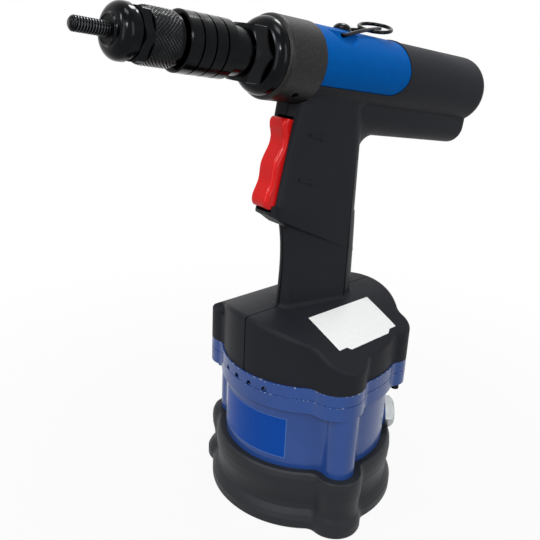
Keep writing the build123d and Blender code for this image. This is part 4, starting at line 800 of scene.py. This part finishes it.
# %% White sticker on the roof
roof_crown = 122.3
roof_radius = 88.0
vinyl_lift = 0.12
side_bow = -1.0
wide_corners = np.array([(-21.2, -18.4), (27.1, -18.4), (25.6, -42.6), (-21.8, -43.4)])
tab_corners = np.array([(-15.9, -43.3), (20.0, -42.7), (16.9, -44.6), (-13.9, -45.1)])


def patch(corners, rows, columns):
    """Mix four corners: top edge and bottom edge by column, then between the two edges by row."""
    across = np.linspace(0, 1, columns)[None, :, None]
    down = np.linspace(0, 1, rows)[:, None, None]
    top = corners[0] * (1 - across) + corners[1] * across
    bottom = corners[3] * (1 - across) + corners[2] * across
    return top * (1 - down) + bottom * down


def on_roof(flat, lift):
    """Points of the roof in metres, lifted a little, under plan points in mm."""
    down = (flat[..., 1] - wide_corners[0, 1]) / (wide_corners[3, 1] - wide_corners[0, 1])
    along = flat[..., 0] + side_bow * np.clip(4 * down * (1 - down), 0, 1)
    roof = roof_crown - roof_radius + np.sqrt(roof_radius ** 2 - flat[..., 1] ** 2)
    return MM * np.dstack([along, flat[..., 1], roof + lift])


wide_rows, tab_rows, patch_columns = 26, 3, 37
flat = np.concatenate([
    patch(wide_corners, wide_rows, patch_columns), patch(tab_corners, tab_rows, patch_columns),
])
kept = np.ones((wide_rows + tab_rows - 1, patch_columns - 1), bool)
kept[wide_rows - 1] = False
white_sticker = grid_mesh("white_sticker", on_roof(flat, vinyl_lift)[:, ::-1], keep=kept)
white_sticker.data.materials.append(vinyl["white_vinyl"])
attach(white_sticker, "housing")

# %% [markdown]
# The blue sticker is bent round the cylinder: a point is a turn about the upright middle line and a
# height. The film is the outermost ring of faces, so it takes a material of its own.

# %% Blue sticker on the cylinder
cylinder_radius = 48.3
sticker_left, sticker_right, sticker_foot, sticker_top = -32.2, 27.0, 42.2, 66.9
film_turn, film_height = 0.75, 0.6
sticker_columns, sticker_rows = 40, 16
turns = np.linspace(sticker_left, sticker_right, sticker_columns)
turns = np.radians(np.concatenate([[sticker_left - film_turn], turns, [sticker_right + film_turn]]))
heights = np.linspace(sticker_foot, sticker_top, sticker_rows)
heights = np.concatenate([[sticker_foot - film_height], heights, [sticker_top + film_height]])
turns, heights = np.meshgrid(turns, heights)
sticker_out = cylinder_radius + vinyl_lift
points = MM * np.dstack([-sticker_out * np.cos(turns), sticker_out * np.sin(turns), heights])
blue_sticker = grid_mesh("blue_sticker", points[:, ::-1])
blue_sticker.data.materials.append(vinyl["blue_vinyl"])
blue_sticker.data.materials.append(vinyl["clear_vinyl"])
film = np.ones((turns.shape[0] - 1, turns.shape[1] - 1), np.int32)
film[1:-1, 1:-1] = 0
blue_sticker.data.polygons.foreach_set("material_index", film.ravel())
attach(blue_sticker, "housing")

# %% [markdown]
# Behind the handle the moulding runs into the barrel in a generous hollow, where the web of the thumb
# rests. Slice by slice across the tool, one ray finds the back of the handle and one the underside of
# the barrel, which slopes with the head line, and an arc that touches both joins them. Its radius dies
# away toward the flanks. A Boolean could blend the two as well, but a thin skin leaves the solids
# untouched.

# %% Hollow behind the handle
hollow_radius, hollow_half, hollow_sink, least_radius = 14.0, 12.0, 0.12, 0.02
back_height, probe_low, probe_rear = 204.0, 160.0, 70.0
slice_count, arc_steps = 40, 16
shell_trees = [
    BVHTree.FromPolygons(node_points(name).tolist(), node_triangles(name).tolist())
    for name in ("grip_near", "grip_far")
]


def first_hit(place, way):
    """Nearest hit on either half of the moulding, in mm."""
    found = [tree.ray_cast(Vector(place) * MM, Vector(way)) for tree in shell_trees]
    return min([hit for hit in found if hit[0] is not None], key=lambda hit: hit[3])[0] / MM


slices = []
sweep = np.linspace(np.pi / 2 + head_tilt, 0, arc_steps)
for across in hollow_half * np.sin(np.linspace(-np.pi / 2, np.pi / 2, slice_count)):
    radius = hollow_radius * (1 - (across / hollow_half) ** 2) + least_radius
    back = first_hit((probe_rear, across, back_height), (-1, 0, 0)).x
    under = first_hit((back + radius, across, probe_low), (0, 0, 1)).z
    middle = under - radius / math.cos(head_tilt)
    slices.append(np.column_stack([
        back + radius * (1 - np.cos(sweep)) - hollow_sink,
        np.full(sweep.size, across),
        middle + radius * np.sin(sweep) + hollow_sink,
    ]))
hollow = grid_mesh("palm_hollow", MM * np.array(slices))
hollow.data.materials.append(nylon)
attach(hollow, "housing")

# %% [markdown]
# Two arrows are moulded on the side of the handle and point into it, one for each end of the trigger. An
# arrow is a strip whose half width follows its length: narrow for the shaft, then wide, closing to the
# point. Its middle stands a little above the plastic. Three rays, cast at its ends, find the plane of
# the handle's side.

# %% Moulded arrows
arrow_length, arrow_head = 12.4, 3.6
shaft_half, head_half = 0.85, 2.1
arrow_rise, arrow_sink, arrow_bevel = 0.6, 0.05, 4
probe_near = -60.0
shaft_steps, head_steps, across_steps = 12, 8, 11
arrow_starts = {"upper_arrow": (-21.6, 219.4), "lower_arrow": (-26.6, 196.6)}
arrow_lean = math.radians(-15.0)
arrow_way = np.array([math.cos(arrow_lean), math.sin(arrow_lean)])
arrow_side = np.array([-arrow_way[1], arrow_way[0]])
steps = np.concatenate([
    np.linspace(0, arrow_length - arrow_head - corner_step, shaft_steps),
    np.linspace(arrow_length - arrow_head, arrow_length, head_steps),
])[:, None]
spread = np.linspace(-1, 1, across_steps)[None, :]
closing = (arrow_length - steps) / arrow_head
half_width = np.where(steps < arrow_length - arrow_head, shaft_half, head_half * closing)
for name, start in arrow_starts.items():
    flat = np.array(start) + steps[..., None] * arrow_way + (spread * half_width)[..., None] * arrow_side
    probes = [flat[0, 0], flat[0, -1], flat[-1, 0]]
    hits = [first_hit((x, probe_near, z), (0, 1, 0)) for x, z in probes]
    system = np.array([[hit.x, hit.z, 1.0] for hit in hits])
    slope = np.linalg.lstsq(system, np.array([hit.y for hit in hits]), rcond=None)[0]
    flanks = np.minimum(1, arrow_bevel * (1 - np.abs(spread)))
    rise = arrow_rise * flanks * np.minimum(1, arrow_bevel * closing.clip(0)) - arrow_sink
    wall = slope[0] * flat[..., 0] + slope[1] * flat[..., 1] + slope[2]
    points = MM * np.dstack([flat[..., 0], wall - rise, flat[..., 1]])
    arrow = grid_mesh(name, points[:, ::-1])
    arrow.data.materials.append(nylon)
    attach(arrow, "housing")

# %% [markdown]
# A catalogue picture lights a dark tool with soft boxes, so that black surfaces show their form by what
# they mirror. One box hangs overhead. Two tall ones stand before the nose and beside the near flank and
# draw upright streaks on the enamel. Small ones, ahead on the far side and behind, light the nose and
# the top, and a little flash on the camera's side sets points of light on the trigger.

# %% Light
tool_middle = Vector((0.0, 0.0, 0.15))


def soft_box(name, place, wide, high, watts):
    """Rectangular lamp at a place in metres, turned so that it faces the middle of the tool."""
    lamp = bpy.data.lights.new(name, "AREA")
    lamp.shape = "RECTANGLE"
    lamp.size, lamp.size_y = wide, high
    lamp.energy = watts
    box = bpy.data.objects.new(name, lamp)
    box.location = place
    box.rotation_euler = (tool_middle - Vector(place)).to_track_quat("-Z", "Y").to_euler()
    bpy.context.scene.collection.objects.link(box)
    print(name, "watts:", watts)


soft_box("overhead_box", (-0.2, -0.1, 1.0), wide=0.3, high=0.24, watts=2.5)
soft_box("front_box", (-0.95, -0.25, 0.45), wide=0.3, high=0.8, watts=2.4)
soft_box("far_front_box", (-0.84, 0.2, 0.82), wide=0.16, high=0.22, watts=3.0)
soft_box("side_box", (0.1, -0.95, 0.5), wide=0.3, high=0.8, watts=3.2)
soft_box("rim_box", (0.45, 0.26, 0.98), wide=0.22, high=0.22, watts=3.2)
soft_box("flash_lamp", (-0.62, -0.5, 0.7), wide=0.1, high=0.1, watts=3.0)

# %% [markdown]
# The surroundings are white. They are brighter to the camera and to reflections than as a lamp, so that
# the background stays clean and the soft boxes still shape the tool.

# %% White surroundings
def seen_directly(tree):
    """1 for rays of the camera and for rays that were mirrored or refracted, else 0."""
    path = add_node(tree, "ShaderNodeLightPath")
    seen = path.outputs["Is Camera Ray"]
    for ray in ("Is Glossy Ray", "Is Transmission Ray"):
        seen = add_node(tree, "ShaderNodeMath", {
            0: seen, 1: path.outputs[ray],
        }, operation="MAXIMUM").outputs["Value"]
    return seen


lamp_level, seen_level = 0.3, 1.0
world = bpy.data.worlds.new("white_surroundings")
bpy.context.scene.world = world
world.use_nodes = True
tree = world.node_tree
tree.nodes.clear()
level = add_node(tree, "ShaderNodeMapRange", {
    "Value": seen_directly(tree), "To Min": lamp_level, "To Max": seen_level,
})
sky = add_node(tree, "ShaderNodeBackground", {
    "Color": linear("#ffffff"), "Strength": level.outputs["Result"],
})
add_node(tree, "ShaderNodeOutputWorld", {"Surface": sky.outputs["Background"]})
print("surroundings:", lamp_level, "as a lamp,", seen_level, "as seen")

# %% [markdown]
# The floor is a wide sheet of matt pale paint. To the camera it is almost white, and it keeps a faint
# shadow close to the boot that fades out with the distance.

# %% Floor
floor_half, floor_drop = 6.0, 0.0002
fade_start, fade_end, near_share = 0.08, 0.4, 0.94
corners = np.array([(-1, -1), (1, -1), (1, 1), (-1, 1)]) * floor_half
mesh = bpy.data.meshes.new("floor")
mesh.from_pydata(np.column_stack([corners, np.full(4, -floor_drop)]), [], [(0, 1, 2, 3)])
floor = bpy.data.objects.new("floor", mesh)
bpy.context.scene.collection.objects.link(floor)
pale_floor, tree = new_material("pale_floor_paint")
matt = add_node(tree, "ShaderNodeBsdfDiffuse", {"Color": linear("#8c8c8c")})
white = add_node(tree, "ShaderNodeEmission", {"Color": linear("#ffffff"), "Strength": 1.0})
place = add_node(tree, "ShaderNodeTexCoord").outputs["Object"]
away = add_node(tree, "ShaderNodeVectorMath", {0: place}, operation="LENGTH")
fade = add_node(tree, "ShaderNodeMapRange", {
    "Value": away.outputs["Value"], "From Min": fade_start, "From Max": fade_end,
    "To Min": near_share, "To Max": 1.0,
})
share = add_node(tree, "ShaderNodeMath", {
    0: seen_directly(tree), 1: fade.outputs["Result"],
}, operation="MULTIPLY")
both = add_node(tree, "ShaderNodeMixShader", {
    0: share.outputs["Value"], 1: matt.outputs["BSDF"], 2: white.outputs["Emission"],
})
add_node(tree, "ShaderNodeOutputMaterial", {"Surface": both.outputs["Shader"]})
floor.data.materials.append(pale_floor)

# %% [markdown]
# The camera stands in front of the nose on the near side, above the tool and looking down at it. Its
# place and turn were found by matching round edges of the tool with their outlines in the picture.

# %% Camera
camera_place = (-0.28561, -0.27217, 0.292762)
camera_pitch, camera_roll, camera_heading = 68.3287, -2.5029, -41.7032
focal_pixels = 737.605
picture_pixels = 540
sensor_mm = 36.0
camera_data = bpy.data.cameras.new("camera")
camera_data.sensor_width = sensor_mm
camera_data.lens = focal_pixels / picture_pixels * sensor_mm
camera_data.clip_start = 0.01
camera = bpy.data.objects.new("camera", camera_data)
turn = Euler([math.radians(angle) for angle in (camera_pitch, camera_roll, camera_heading)])
camera.matrix_world = Matrix.Translation(camera_place) @ turn.to_matrix().to_4x4()
bpy.context.scene.collection.objects.link(camera)
bpy.context.scene.camera = camera
bpy.context.scene.view_settings.view_transform = "Standard"
print("lens in mm:", round(camera_data.lens, 2))
